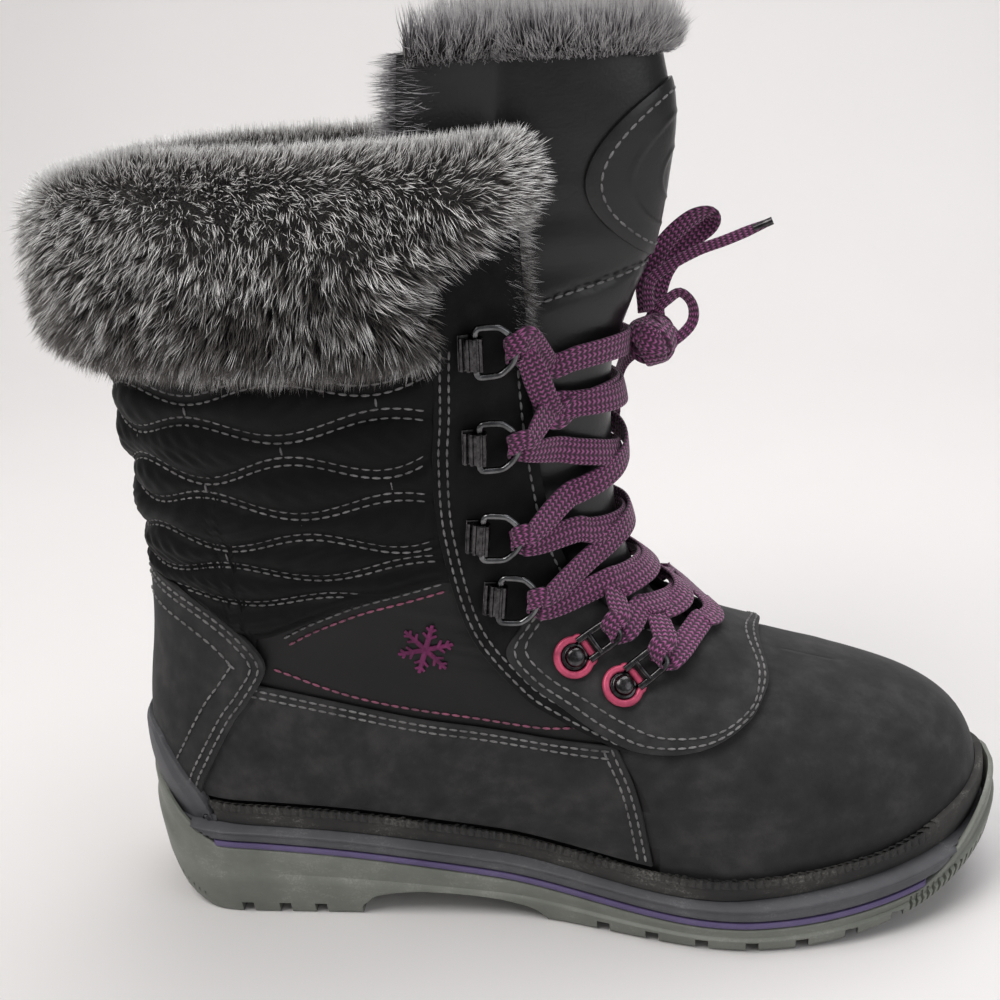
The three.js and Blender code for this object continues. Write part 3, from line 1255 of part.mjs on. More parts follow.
// Materials
const finish = (color, roughness, metalness = 0) => new THREE.MeshStandardMaterial({ color, roughness, metalness });
const NUBUCK = finish(0x1d1e20, 0.8);
const SMOOTH_LEATHER = finish(0x161618, 0.45);
const QUILTED = finish(0x19191b, 0.6);
const DARK_RUBBER = finish(0x33333a, 0.7);
const WELT_RUBBER = finish(0x3c3b38, 0.85);
const GREEN_RUBBER = finish(0x5f625b, 0.6);
const PLUM_RUBBER = finish(0x5a4d6e, 0.6);
const FELT = finish(0x4a4a4d, 0.95);
const FUR = finish(0x6f6a66, 1);
const GUNMETAL = finish(0x55565a, 0.35, 0.9);
const ROSE = finish(0xb4485a, 0.5, 0.3);
const PLUM_LACE = finish(0x6b2147, 0.75);

const boot = new THREE.Group();
function add(name, solid, material) {
  const mesh = new THREE.Mesh(toGeometry(solid), material);
  mesh.name = name;
  boot.add(mesh);
}

add("outsole", outsole(), GREEN_RUBBER);
add("sole_stripe", soleStripe(), PLUM_RUBBER);
add("midsole", midsole(), DARK_RUBBER);
add("welt", welt(), WELT_RUBBER);
add("insole", insole(), FELT);
add("upper", upper(), NUBUCK);
add("heel_counter", heelCounter(), NUBUCK);
add("shaft_quilting", shaftQuilting(), QUILTED);
add("lace_stay", laceStay(), NUBUCK);
add("fur_cuff", furCuff(), FUR);
add("tongue", tongue(), SMOOTH_LEATHER);
add("tongue_fur", tongueFur(), FUR);
add("tongue_patch", tonguePatch(), SMOOTH_LEATHER);
for (const [side, word] of [[LATERAL, "lateral"], [MEDIAL, "medial"]]) {
  add(`quarter_${word}`, quarter(side), NUBUCK);
  add(`eyestay_${word}`, eyestay(side), NUBUCK);
  CLIPS.forEach((row, i) => {
    add(`ring_clip_${word}_${i + 1}`, ringClip(row, side), GUNMETAL);
    add(`d_ring_${word}_${i + 1}`, dRing(row, side), GUNMETAL);
  });
  LOOPS.forEach((row, i) => {
    add(`lace_loop_${word}_${i + 1}`, laceLoop(row, side), GUNMETAL);
    add(`loop_rim_${word}_${i + 1}`, loopRim(row, side), ROSE);
    add(`rivet_${word}_${i + 1}`, rivet(row, side), GUNMETAL);
  });
}
add("lace_bar_top", laceBar(0, 1.2), PLUM_LACE);
for (let i = 0; i < LACE_ROWS.length - 1; i += 1) add(`lace_crossing_${i + 1}`, laceCrossing(i), PLUM_LACE);
add("lace_bar_low", laceBar(LACE_ROWS.length - 1, -1), PLUM_LACE);
add("lace_knot", laceKnot(), PLUM_LACE);
add("lace_bow_up", cordSolid(LACE_LOOP_UP, 16, CORD_WIDTH), PLUM_LACE);
add("lace_bow_low", cordSolid(LACE_LOOP_LOW, 8, FOLDED_WIDTH), PLUM_LACE);
add("lace_end_up", cordSolid(LACE_END_UP, 9, FOLDED_WIDTH), PLUM_LACE);
add("lace_end_down", cordSolid(LACE_END_DOWN, 9, CORD_WIDTH), PLUM_LACE);

boot.position.x = -HEEL_CENTRE;
export default boot;
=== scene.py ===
"""A women's lace-up snow boot for the right foot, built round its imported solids.

The panels, seams, quilting, fur, lacing and sole are laid over the boot's own form. The form is in
millimetres, which are turned into metres when a piece is made.
"""

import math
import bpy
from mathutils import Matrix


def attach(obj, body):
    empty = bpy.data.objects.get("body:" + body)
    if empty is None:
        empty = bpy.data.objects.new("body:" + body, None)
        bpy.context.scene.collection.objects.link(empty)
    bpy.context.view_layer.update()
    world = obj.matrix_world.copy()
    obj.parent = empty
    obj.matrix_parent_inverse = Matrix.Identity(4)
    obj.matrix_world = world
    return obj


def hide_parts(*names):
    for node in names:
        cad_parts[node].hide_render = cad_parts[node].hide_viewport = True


bl_info = {
    "name": "Snow boot",
    "version": (1, 0, 0),
    "blender": (4, 5, 0),
    "location": "View3D > Sidebar > Snow boot",
    "description": "Builds a lace-up snow boot with a quilted shaft and a fur cuff",
    "category": "Add Mesh",
}

import bpy
import numpy as np
from mathutils import Matrix, Vector
from mathutils.kdtree import KDTree

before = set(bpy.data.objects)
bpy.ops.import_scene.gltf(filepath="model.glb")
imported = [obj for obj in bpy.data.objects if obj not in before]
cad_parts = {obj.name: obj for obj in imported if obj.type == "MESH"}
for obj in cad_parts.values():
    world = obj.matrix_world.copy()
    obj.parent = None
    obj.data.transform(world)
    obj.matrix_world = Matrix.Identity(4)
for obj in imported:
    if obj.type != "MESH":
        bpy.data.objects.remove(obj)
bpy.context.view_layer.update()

# The boot's form, from the same tables as the solids. Millimetres, counted along the boot from the back of
# the outsole.

BOOT_LENGTH = 292
BALL_WIDTH = 103
HEEL_WIDTH = 70
COLLAR_HEIGHT = 244
SEAT_HEIGHT = 35
HEEL_CENTRE = 46
RISE = COLLAR_HEIGHT - SEAT_HEIGHT
LATERAL = -1
MEDIAL = 1

# Share of the length, then the tread's lowest line, the outsole's floor and the seat, each as a share of
# SEAT_HEIGHT.
SOLE_LINES = np.array([
    (0.0, 0.56, 0.79, 1.0), (0.02, 0.32, 0.79, 1.0), (0.05, 0.1, 0.78, 1.0), (0.09, 0.0, 0.77, 0.99),
    (0.16, 0.0, 0.74, 0.97), (0.26, 0.0, 0.66, 0.9), (0.37, 0.0, 0.53, 0.77), (0.5, 0.0, 0.36, 0.61),
    (0.63, 0.0, 0.26, 0.51), (0.74, 0.0, 0.26, 0.52), (0.8, 0.03, 0.29, 0.56), (0.86, 0.11, 0.35, 0.61),
    (0.91, 0.22, 0.42, 0.67), (0.96, 0.4, 0.52, 0.74), (1.0, 0.6, 0.64, 0.8),
])
# Sections of the upper: back x, back z, front x, front z, sag, then the outline's heel, waist, ball, back
# round, front round and foot.
SECTIONS = np.array([
    (0.028, 0.0, 0.966, -0.04, 1, 0.79, 0.5, 0.86, 0.13, 0.27, 1),
    (0.022, 0.05, 0.976, 0.01, 1, 0.85, 0.54, 0.9, 0.13, 0.28, 1),
    (0.018, 0.097, 0.974, 0.06, 0.92, 0.89, 0.57, 0.91, 0.13, 0.29, 1),
    (0.018, 0.144, 0.956, 0.112, 0.8, 0.9, 0.59, 0.9, 0.14, 0.31, 0.95),
    (0.021, 0.19, 0.922, 0.152, 0.65, 0.9, 0.61, 0.87, 0.15, 0.36, 0.88),
    (0.026, 0.235, 0.873, 0.181, 0.5, 0.9, 0.625, 0.83, 0.17, 0.42, 0.78),
    (0.032, 0.28, 0.81, 0.207, 0.36, 0.9, 0.64, 0.79, 0.2, 0.47, 0.65),
    (0.037, 0.326, 0.738, 0.236, 0.22, 0.905, 0.65, 0.75, 0.23, 0.51, 0.5),
    (0.04, 0.374, 0.672, 0.274, 0.1, 0.92, 0.665, 0.725, 0.27, 0.54, 0.36),
    (0.042, 0.427, 0.617, 0.325, 0, 0.94, 0.685, 0.72, 0.31, 0.55, 0.24),
    (0.042, 0.485, 0.575, 0.392, 0, 0.98, 0.71, 0.74, 0.35, 0.55, 0.14),
    (0.04, 0.55, 0.549, 0.478, 0, 1.04, 0.755, 0.775, 0.39, 0.54, 0.06),
    (0.036, 0.625, 0.536, 0.58, 0, 1.12, 0.81, 0.82, 0.43, 0.53, 0),
    (0.029, 0.71, 0.53, 0.695, 0, 1.2, 0.86, 0.862, 0.46, 0.52, 0),
    (0.022, 0.81, 0.53, 0.815, 0, 1.27, 0.9, 0.9, 0.48, 0.51, 0),
    (0.016, 0.91, 0.532, 0.918, 0, 1.32, 0.925, 0.925, 0.49, 0.51, 0),
    (0.012, 1.0, 0.536, 1.0, 0, 1.35, 0.94, 0.94, 0.49, 0.51, 0),
    (0.01, 1.09, 0.542, 1.09, 0, 1.37, 0.95, 0.95, 0.49, 0.51, 0),
    (0.01, 1.18, 0.546, 1.18, 0, 1.38, 0.955, 0.955, 0.49, 0.51, 0),
])
THROAT_ROW = 8.15
COLLAR_ROW = 16


def ease(k):
    k = np.clip(k, 0, 1)
    return k * k * (3 - 2 * k)


def row_at(t):
    """Every column of SECTIONS at fractional rows, on a smooth curve."""
    rows = np.vstack([2 * SECTIONS[0] - SECTIONS[1], SECTIONS, 2 * SECTIONS[-1] - SECTIONS[-2]])
    t = np.asarray(t, float)
    i = np.clip(np.floor(t).astype(int), 0, len(SECTIONS) - 2)
    k = (t - i)[..., None]
    a, b, c, d = rows[i], rows[i + 1], rows[i + 2], rows[i + 3]
    return 0.5 * (2 * b + (c - a) * k + (2 * a - 5 * b + 4 * c - d) * k**2 + (3 * b - a - 3 * c + d) * k**3)


def line_at(keys, values, at):
    """One column of a table at a value of its key column, without overshoot."""
    keys, values, at = np.asarray(keys, float), np.asarray(values, float), np.asarray(at, float)
    i = np.clip(np.searchsorted(keys, at, side="left") - 1, 0, len(keys) - 2)
    low = np.maximum(np.arange(len(keys)) - 1, 0)
    high = np.minimum(np.arange(len(keys)) + 1, len(keys) - 1)
    slope = (values[high] - values[low]) / (keys[high] - keys[low])
    step = keys[i + 1] - keys[i]
    k = np.clip((at - keys[i]) / step, 0, 1)
    return (
        values[i] * (2 * k**3 - 3 * k**2 + 1)
        + values[i + 1] * (3 * k**2 - 2 * k**3)
        + slope[i] * step * (k**3 - 2 * k**2 + k)
        + slope[i + 1] * step * (k**3 - k**2)
    )


def sole_line(column, x):
    return SEAT_HEIGHT * line_at(SOLE_LINES[:, 0], SOLE_LINES[:, column], np.asarray(x) / BOOT_LENGTH)


def under_line(x):
    return np.maximum(0, sole_line(1, x))


def floor_line(x):
    return sole_line(2, x)


def seat_line(x):
    return sole_line(3, x)


def plan_at(row, s, side):
    """Half-width and middle line of an outline at share s of its length, on one side."""
    heel, waist, ball, back_round, front_round, foot = np.moveaxis(np.asarray(row)[..., -6:], -1, 0)
    heel = heel * HEEL_WIDTH / 2
    waist = waist * BALL_WIDTH / 2 * (1 - 0.05 * foot * side)
    ball = ball * BALL_WIDTH / 2 * (1 - 0.035 * foot * side)
    front_round = front_round * (1 - 0.16 * foot * side)
    half = np.where(
        s < 0.42,
        heel + (waist - heel) * ease((s - 0.15) / 0.27),
        waist + (ball - waist) * ease((s - 0.42) / 0.3),
    )
    back = np.clip((back_round - s) / back_round, 0, 1)
    front = np.clip((s - 1 + front_round) / front_round, 0, 1)
    closing = (1 - back**2.15) ** (1 / 2.15) * (1 - front**2.1) ** (1 / 2.1)
    return 7 * foot * ease((s - 0.5) * 2) + side * half * closing


def share_of(theta):
    return (1 - np.cos(theta)) / 2


def side_of(theta):
    return np.where(np.asarray(theta) < 0, LATERAL, MEDIAL)


def section_height(row, s):
    back_x, back_z, front_x, front_z, sag = np.moveaxis(row[..., :5], -1, 0)
    straight = SEAT_HEIGHT + RISE * (back_z + (front_z - back_z) * s)
    low, high = seat_line(back_x * BOOT_LENGTH), seat_line(front_x * BOOT_LENGTH)
    here = seat_line((back_x + (front_x - back_x) * s) * BOOT_LENGTH)
    return straight + sag * (here - low - (high - low) * s)


def surface(t, theta):
    """Points of the upper's outer face. theta is 0 at the back and pi at the front, negative laterally."""
    t, theta = np.broadcast_arrays(np.asarray(t, float), np.asarray(theta, float))
    row = row_at(t)
    s = share_of(theta)
    x = BOOT_LENGTH * (row[..., 0] + (row[..., 2] - row[..., 0]) * s)
    return np.stack([x, plan_at(row, s, side_of(theta)), section_height(row, s)], -1)


def unit(v):
    return v / np.maximum(np.linalg.norm(v, axis=-1, keepdims=True), 1e-9)


def normal(t, theta):
    def wrap(a):
        return (a + math.pi) % (2 * math.pi) - math.pi

    theta = np.asarray(theta, float)
    across = surface(t, wrap(theta + 0.02)) - surface(t, wrap(theta - 0.02))
    up = surface(np.asarray(t) + 0.02, theta) - surface(np.asarray(t) - 0.02, theta)
    return unit(np.cross(up, across))


def offset(t, theta, off):
    return surface(t, theta) + normal(t, theta) * np.asarray(off, float)[..., None]


def place_of(x, z, side):
    """The section and angle that show at (x, z) from the side."""
    x, z = np.broadcast_arrays(np.asarray(x, float), np.asarray(z, float))
    low, high = np.zeros(x.shape), np.full(x.shape, 18.0)
    for _ in range(30):
        t = (low + high) / 2
        row = row_at(t)
        s = (x / BOOT_LENGTH - row[..., 0]) / (row[..., 2] - row[..., 0])
        above = (s > 1) | (section_height(row, np.clip(s, 0, 1)) > z)
        high, low = np.where(above, t, high), np.where(above, low, t)
    row = row_at(low)
    s = np.clip((x / BOOT_LENGTH - row[..., 0]) / (row[..., 2] - row[..., 0]), 0, 1)
    return low, side * np.arccos(1 - 2 * s)


def angle_at_width(t, width, side):
    """The angle at the front half where the section is as wide as width on one side of its middle."""
    t, width, side = np.broadcast_arrays(*(np.asarray(a, float) for a in (t, width, side)))
    row = row_at(t)
    middle = plan_at(row, np.ones(t.shape), side)
    near, far = np.full(t.shape, math.pi / 2), np.full(t.shape, math.pi)
    for _ in range(26):
        theta = (near + far) / 2
        wide = side * (plan_at(row, share_of(theta), side) - middle) > width
        near, far = np.where(wide, theta, near), np.where(wide, far, theta)
    return side * (near + far) / 2


def half_gap(t):
    """Half the width of the throat at section t."""
    t = np.asarray(t, float)
    gone = np.clip((t - THROAT_ROW) / 1.1, 0, 1)
    wide = 19 + 12 * np.clip((t - THROAT_ROW) / (COLLAR_ROW - THROAT_ROW), 0, 1)
    return wide * np.sqrt(1 - (1 - gone) ** 2)


# The tongue and the lacing's bed

# Section, half-width, depth inside the upper's face, and how far the tongue comes forward.
TONGUE_ROWS = np.array([
    (7.3, 20, 3.6, 0), (8.2, 25, 3.6, 0), (9, 30, 3.6, 2), (10, 34, 3.6, 6), (11, 36, 3.6, 9),
    (12, 38, 3.6, 12),
    (13, 40, 3.6, 13.5), (13.6, 41, 4, 18), (14.2, 42, 7, 27), (15, 43, 10.5, 34.5), (16, 44, 12, 38),
    (17, 45, 12, 38.5), (18, 45, 11.5, 34),
])
TONGUE_TOP = 18
NECK_SHARE = 0.76


def tongue_row(t):
    half, inset, bulge = (line_at(TONGUE_ROWS[:, 0], TONGUE_ROWS[:, i], t) for i in (1, 2, 3))
    return half, inset, np.maximum(0, bulge)


def tongue_point(t, k, depth=0.0):
    """A point of the tongue's face. k runs from -1 at the lateral edge to 1 at the medial edge."""
    t, k, depth = np.broadcast_arrays(*(np.asarray(a, float) for a in (t, k, depth)))
    half, inset, bulge = tongue_row(t)
    side = np.where(k < 0, LATERAL, MEDIAL)
    neck = np.maximum(10, np.minimum(half_gap(t), 31) - 1.3) - 0.7 * depth
    q = np.abs(k) / NECK_SHARE
    arc = np.minimum(q, 1) * math.pi / 2
    width = np.where(q < 1, neck * np.sin(arc), neck + (half - neck) * (q - 1) / (1 / NECK_SHARE - 1))
    rise = np.where(q < 1, np.cos(arc), 0)
    ahead = normal(t, np.full(t.shape, math.pi))
    return offset(t, angle_at_width(t, width, side), -(inset + depth)) + ahead * (bulge * rise)[..., None]


def lace_bed(t, k, lift=3.2):
    """The bed that the lace lies on at section t and width share k, and its outward direction."""
    t, k = np.broadcast_arrays(np.asarray(t, float), np.asarray(k, float))
    side = np.where(k < 0, LATERAL, MEDIAL)
    inset, bulge = tongue_row(t)[1:]
    neck = np.maximum(10, half_gap(t) - 1.3)
    arc = np.minimum(1, np.abs(k) / NECK_SHARE) * math.pi / 2
    wide, high = np.sin(arc), np.cos(arc)
    ahead = normal(t, np.full(t.shape, math.pi))
    across = np.stack([0 * t, side * wide * np.minimum(1, bulge / neck), 0 * t], -1)
    out = unit(ahead * np.maximum(0.2, high)[..., None] + across)
    forward = np.maximum(bulge * high - inset, 2.5)
    point = surface(t, angle_at_width(t, neck * wide, side)) + ahead * forward[..., None]
    return point + out * lift, out


# Making pieces


def to_frame(points):
    """Millimetres from the back of the outsole, as metres in the part's frame."""
    return (np.asarray(points, float) - (HEEL_CENTRE, 0, 0)) * 0.001


# Steps of edit() that clean a mesh up.
WELD = ("remove_doubles", {"threshold": 2e-6})
CAP = ("fill_holes", {"sides": 0})
OUTWARDS = ("normals_make_consistent", {"inside": False})


def select_only(obj):
    bpy.ops.object.select_all(action="DESELECT")
    obj.select_set(True)
    bpy.context.view_layer.objects.active = obj


def points_of(obj):
    flat = np.empty(len(obj.data.vertices) * 3)
    obj.data.vertices.foreach_get("co", flat)
    return flat.reshape(-1, 3)


def set_points(obj, points):
    obj.data.vertices.foreach_set("co", to_frame(points).ravel())
    obj.data.update()


def edit(obj, *steps):
    """Runs mesh operators on the whole of a piece, each given with its settings."""
    select_only(obj)
    bpy.ops.object.mode_set(mode="EDIT")
    bpy.ops.mesh.select_all(action="SELECT")
    for operator, settings in steps:
        getattr(bpy.ops.mesh, operator)(**settings)
    bpy.ops.object.mode_set(mode="OBJECT")


def modify(obj, kind, **settings):
    """Adds a modifier and applies it at once."""
    select_only(obj)
    modifier = obj.modifiers.new(kind.title(), kind)
    for name, value in settings.items():
        setattr(modifier, name, value)
    bpy.ops.object.modifier_apply(modifier=modifier.name)


def smooth(obj, angle=40):
    select_only(obj)
    bpy.ops.object.shade_smooth_by_angle(angle=math.radians(angle))
    return obj


def grid(name, across, along, place):
    """A grid with its own UV map, whose points are where place(u, v) says."""
    bpy.ops.object.select_all(action="DESELECT")
    bpy.ops.mesh.primitive_grid_add(x_subdivisions=across, y_subdivisions=along, size=1, calc_uvs=True)
    obj = bpy.context.object
    obj.name = name
    obj.data.name = name
    uv = np.clip(points_of(obj)[:, :2] + 0.5, 0, 1)
    set_points(obj, place(uv[:, 0], uv[:, 1]))
    return obj


def closed_grid(name, across, along, place):
    """A grid whose opposite edges meet, merged into one skin that faces outwards."""
    obj = grid(name, across, along, place)
    edit(obj, WELD, OUTWARDS)
    return obj


def sheet(name, across, along, place, thickness, bevel=0.4, inner=0):
    """A sheet whose outer face is place(u, v, 0), with a wall behind it and rounded edges."""
    obj = grid(name, across, along, lambda u, v: place(u, v, 0.0))
    edit(obj, WELD)
    polygon = obj.data.polygons[len(obj.data.polygons) // 2]
    uv = obj.data.uv_layers[0].data
    middle = np.mean([uv[i].uv[:] for i in polygon.loop_indices], 0)
    u, v = middle[:1], middle[1:]
    if np.dot((place(u, v, 1.0) - place(u, v, 0.0))[0], polygon.normal) < 0:
        edit(obj, ("flip_normals", {}))
    modify(obj, "SOLIDIFY", thickness=thickness * 0.001, offset=-1, material_offset=inner)
    if bevel:
        modify(
            obj, "BEVEL", width=bevel * 0.001, segments=2, limit_method="ANGLE", angle_limit=math.radians(50)
        )
    return smooth(obj)


def mesh_of(name, points, loops, starts, colours=None):
    """A mesh from arrays: points in millimetres, the faces' corners in a row, and where each face starts."""
    mesh = bpy.data.meshes.new(name)
    mesh.vertices.add(len(points))
    mesh.vertices.foreach_set("co", to_frame(points).ravel())
    mesh.loops.add(len(loops))
    mesh.loops.foreach_set("vertex_index", np.asarray(loops, np.int32))
    mesh.polygons.add(len(starts))
    mesh.polygons.foreach_set("loop_start", np.asarray(starts, np.int32))
    mesh.update(calc_edges=True)
    if colours is not None:
        attribute = mesh.color_attributes.new("pile", "FLOAT_COLOR", "POINT")
        attribute.data.foreach_set("color", np.asarray(colours, np.float32).ravel())
    obj = bpy.data.objects.new(name, mesh)
    bpy.context.scene.collection.objects.link(obj)
    return obj


def scatter(name, template, origins, axes, sizes):
    """Copies of a small template, each with its own place, axes and size along them, as one mesh."""
    points, faces = template
    origins, sizes = np.asarray(origins), np.broadcast_to(np.asarray(sizes, float), (len(origins), 3))
    placed = origins[:, None] + np.einsum("nj,kj,kji->kni", points, sizes, np.asarray(axes))
    loops = np.concatenate([np.asarray(face) for face in faces])
    counts = np.array([len(face) for face in faces])
    starts = np.concatenate([[0], np.cumsum(counts)[:-1]])
    shift = np.arange(len(origins))[:, None]
    return mesh_of(
        name,
        placed.reshape(-1, 3),
        (loops[None] + shift * len(points)).ravel(),
        (starts[None] + shift * len(loops)).ravel(),
    )


def bead_template(segments, rings):
    """A unit bead along x, as points and faces, taken from a primitive."""
    bpy.ops.object.select_all(action="DESELECT")
    bpy.ops.mesh.primitive_uv_sphere_add(segments=segments, ring_count=rings, radius=0.5)
    obj = bpy.context.object
    bpy.ops.object.select_all(action="DESELECT")
    points = points_of(obj)[:, [2, 0, 1]]
    faces = [list(p.vertices) for p in obj.data.polygons]
    bpy.data.objects.remove(obj)
    return points, faces


def tube(name, path, out, width, thickness, sides=12, closed=False, selvedge=0.0, power=2.0):
    """A tube or flat band along a path. out is the direction that its flat face looks to, at each point."""
    path, out = np.asarray(path, float), np.asarray(out, float)
    count = len(path)
    if closed:
        along = np.roll(path, -1, 0) - np.roll(path, 1, 0)
    else:
        along = np.gradient(path, axis=0)
    along = unit(along)
    wide = unit(np.cross(out, along))
    up = np.cross(along, wide)
    width = np.broadcast_to(np.asarray(width, float), (count,))
    thickness = np.broadcast_to(np.asarray(thickness, float), (count,))
    steps = np.concatenate([[0], np.cumsum(np.linalg.norm(np.diff(path, axis=0), axis=1))])

    def place(u, v):
        i = np.round(v * (count - (0 if closed else 1))).astype(int) % count
        turn = 2 * math.pi * u
        a = np.sign(np.cos(turn)) * np.abs(np.cos(turn)) ** (2 / power)
        b = np.sign(np.sin(turn)) * np.abs(np.sin(turn)) ** (2 / power)
        b = b * (1 - selvedge + selvedge * a**4)
        return path[i] + wide[i] * (a * width[i] / 2)[:, None] + up[i] * (b * thickness[i] / 2)[:, None]

    obj = grid(name, sides, count if closed else count - 1, place)
    layer = obj.data.uv_layers[0]
    uv = np.empty(len(layer.data) * 2)
    layer.data.foreach_get("uv", uv)
    uv = uv.reshape(-1, 2)
    turn = 2 * math.pi * uv[:, 0]
    uv[:, 0] = np.cos(turn) / 2 + 0.5
    uv[:, 1] = uv[:, 1] * steps[-1] / 8
    layer.data.foreach_set("uv", uv.ravel())
    edit(obj, WELD)
    if not closed:
        edit(obj, ("fill_holes", {"sides": 4 * sides}))
    edit(obj, OUTWARDS)
    return smooth(obj, 50)


def spline(rows, count, closed=False):
    """A smooth curve through rows of numbers, with count points spread evenly by the rows' own spacing."""
    rows = np.asarray(rows, float)
    if closed:
        rows = np.vstack([rows[-1], rows, rows[0], rows[1]])
        span = len(rows) - 3
    else:
        rows = np.vstack([2 * rows[0] - rows[1], rows, 2 * rows[-1] - rows[-2]])
        span = len(rows) - 3
    at = np.linspace(0, span, count, endpoint=not closed)
    i = np.clip(np.floor(at).astype(int), 0, span - 1)
    k = (at - i)[:, None]
    a, b, c, d = rows[i], rows[i + 1], rows[i + 2], rows[i + 3]
    return 0.5 * (2 * b + (c - a) * k + (2 * a - 5 * b + 4 * c - d) * k**2 + (3 * b - a - 3 * c + d) * k**3)


def even(rows, pitch):
    """A line as points an even pitch apart, with all columns of its rows. The first three are its place."""
    rows = np.asarray(rows, float)
    steps = np.concatenate([[0], np.cumsum(np.linalg.norm(np.diff(rows[:, :3], axis=0), axis=1))])
    count = max(2, int(round(steps[-1] / pitch)) + 1)
    at = np.linspace(0, steps[-1], count)
    return np.stack([np.interp(at, steps, column) for column in rows.T], -1)


def shifted(line, by):
    """A flat line moved sideways, to the left of its own direction."""
    along = unit(np.gradient(line, axis=0))
    return line + np.stack([-along[:, 1], along[:, 0]], -1) * by


def side_line(rows, count=60):
    """A smooth line from rows of share of the length and share of the rise, in millimetres."""
    rows = np.asarray(rows, float)
    return spline(np.stack([rows[:, 0] * BOOT_LENGTH, SEAT_HEIGHT + rows[:, 1] * RISE], -1), count)


def own(obj, finishes, slot, *nodes):
    """Gives a piece its finishes, its body, and the solids that it stands for. slot is not used."""
    obj.data.materials.clear()
    for name in finishes:
        obj.data.materials.append(finish(name))
    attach(obj, "root")
    if nodes:
        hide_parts(*nodes)
    return obj


def join(name, objects):
    """Joins like pieces into one."""
    bpy.ops.object.select_all(action="DESELECT")
    for obj in objects:
        obj.select_set(True)
    bpy.context.view_layer.objects.active = objects[0]
    if len(objects) > 1:
        bpy.ops.object.join()
    objects[0].name = name
    objects[0].data.name = name
    return objects[0]


# Finishes


class Socket:
    """A shader socket that adds Math nodes when it is used in a sum."""

    def __init__(self, maker, socket):
        self.maker = maker
        self.socket = socket

    def maths(self, operation, *values):
        return self.maker.node("ShaderNodeMath", {"operation": operation}, dict(enumerate(values)))

    def __add__(self, other):
        return self.maths("ADD", self, other)

    __radd__ = __add__

    def __mul__(self, other):
        return self.maths("MULTIPLY", self, other)

    __rmul__ = __mul__

    def __sub__(self, other):
        return self.maths("SUBTRACT", self, other)

    def __rsub__(self, other):
        return self.maths("SUBTRACT", other, self)

    def __truediv__(self, other):
        return self.maths("DIVIDE", self, other)

    def part(self):
        return self.maths("FRACT", self)

    def size(self):
        return self.maths("ABSOLUTE", self)

    def wave(self):
        return self.maths("SINE", self * (2 * math.pi))

    def step(self, low, high):
        """0 below low, 1 above high, smooth between."""
        values = {"Value": self, "From Min": low, "From Max": high}
        return self.maker.node("ShaderNodeMapRange", {"interpolation_type": "SMOOTHSTEP"}, values)


class Finish:
    """A material that is built from expressions on its sockets."""

    def __init__(self, name):
        self.material = bpy.data.materials.new(f"{name}_finish")
        self.material.use_nodes = True
        self.nodes = self.material.node_tree.nodes
        self.links = self.material.node_tree.links
        self.shader = self.nodes["Principled BSDF"]

    def node(self, kind, settings, values, out=0):
        node = self.nodes.new(kind)
        for name, value in settings.items():
            if name == "stops":
                ramp = node.color_ramp
                while len(ramp.elements) < len(value):
                    ramp.elements.new(1)
                for element, (place, colour) in zip(ramp.elements, value):
                    element.position = place
                    element.color = (*colour, 1)
            else:
                setattr(node, name, value)
        self.feed(node, values)
        return Socket(self, node.outputs[out])

    def feed(self, node, values):
        for name, value in values.items():
            if isinstance(value, Socket):
                self.links.new(value.socket, node.inputs[name])
            else:
                node.inputs[name].default_value = value

    def coords(self, scale=(1, 1, 1)):
        where = self.node("ShaderNodeTexCoord", {}, {}, "Object")
        return self.node("ShaderNodeMapping", {}, {"Vector": where, "Scale": scale})

    def height(self):
        node = self.nodes.new("ShaderNodeSeparateXYZ")
        self.feed(node, {"Vector": self.coords()})
        return Socket(self, node.outputs[2])

    def across_and_along(self):
        where = self.node("ShaderNodeUVMap", {"uv_map": "UVMap"}, {})
        node = self.nodes.new("ShaderNodeSeparateXYZ")
        self.feed(node, {"Vector": where})
        return Socket(self, node.outputs[0]), Socket(self, node.outputs[1])

    def noise(self, where, scale, detail=3, roughness=0.55):
        values = {"Vector": where, "Scale": scale, "Detail": detail, "Roughness": roughness}
        return self.node("ShaderNodeTexNoise", {}, values)

    def cells(self, where, scale):
        return self.node("ShaderNodeTexVoronoi", {"feature": "F1"}, {"Vector": where, "Scale": scale})

    def ramp(self, value, *stops):
        return self.node("ShaderNodeValToRGB", {"stops": stops}, {"Fac": value})

    def blend(self, factor, a, b):
        a, b = ((*c, 1) if isinstance(c, tuple) else c for c in (a, b))
        return self.node("ShaderNodeMix", {"data_type": "RGBA"}, {0: factor, 6: a, 7: b}, 2)

    def bump(self, height, strength, distance):
        values = {"Height": height, "Strength": strength, "Distance": distance}
        return self.node("ShaderNodeBump", {}, values)

    def wear(self, **sockets):
        """Sets the shader's own sockets and returns the material."""
        self.feed(
            self.shader,
            {name.replace("_", " ").title().replace("Ior", "IOR"): v for name, v in sockets.items()},
        )
        return self.material


def nubuck(name, dark, mid, pale):
    f = Finish(name)
    where = f.coords()
    cloud = f.noise(where, 42, 5, 0.6)
    smudge = f.noise(where, 170, 4, 0.65)
    nap = f.noise(where, 2400, 2)
    tone = cloud * 0.55 + smudge * 0.35 + nap * 0.1
    colour = f.ramp(tone, (0.36, dark), (0.5, mid), (0.64, pale))
    height = nap * 0.5 + smudge * 0.5
    return f.wear(
        base_color=colour, roughness=0.74 + nap * 0.2, specular_ior_level=0.16, sheen_weight=0.08,
        sheen_roughness=0.4,
        normal=f.bump(height, 0.3, 0.0004),
    )


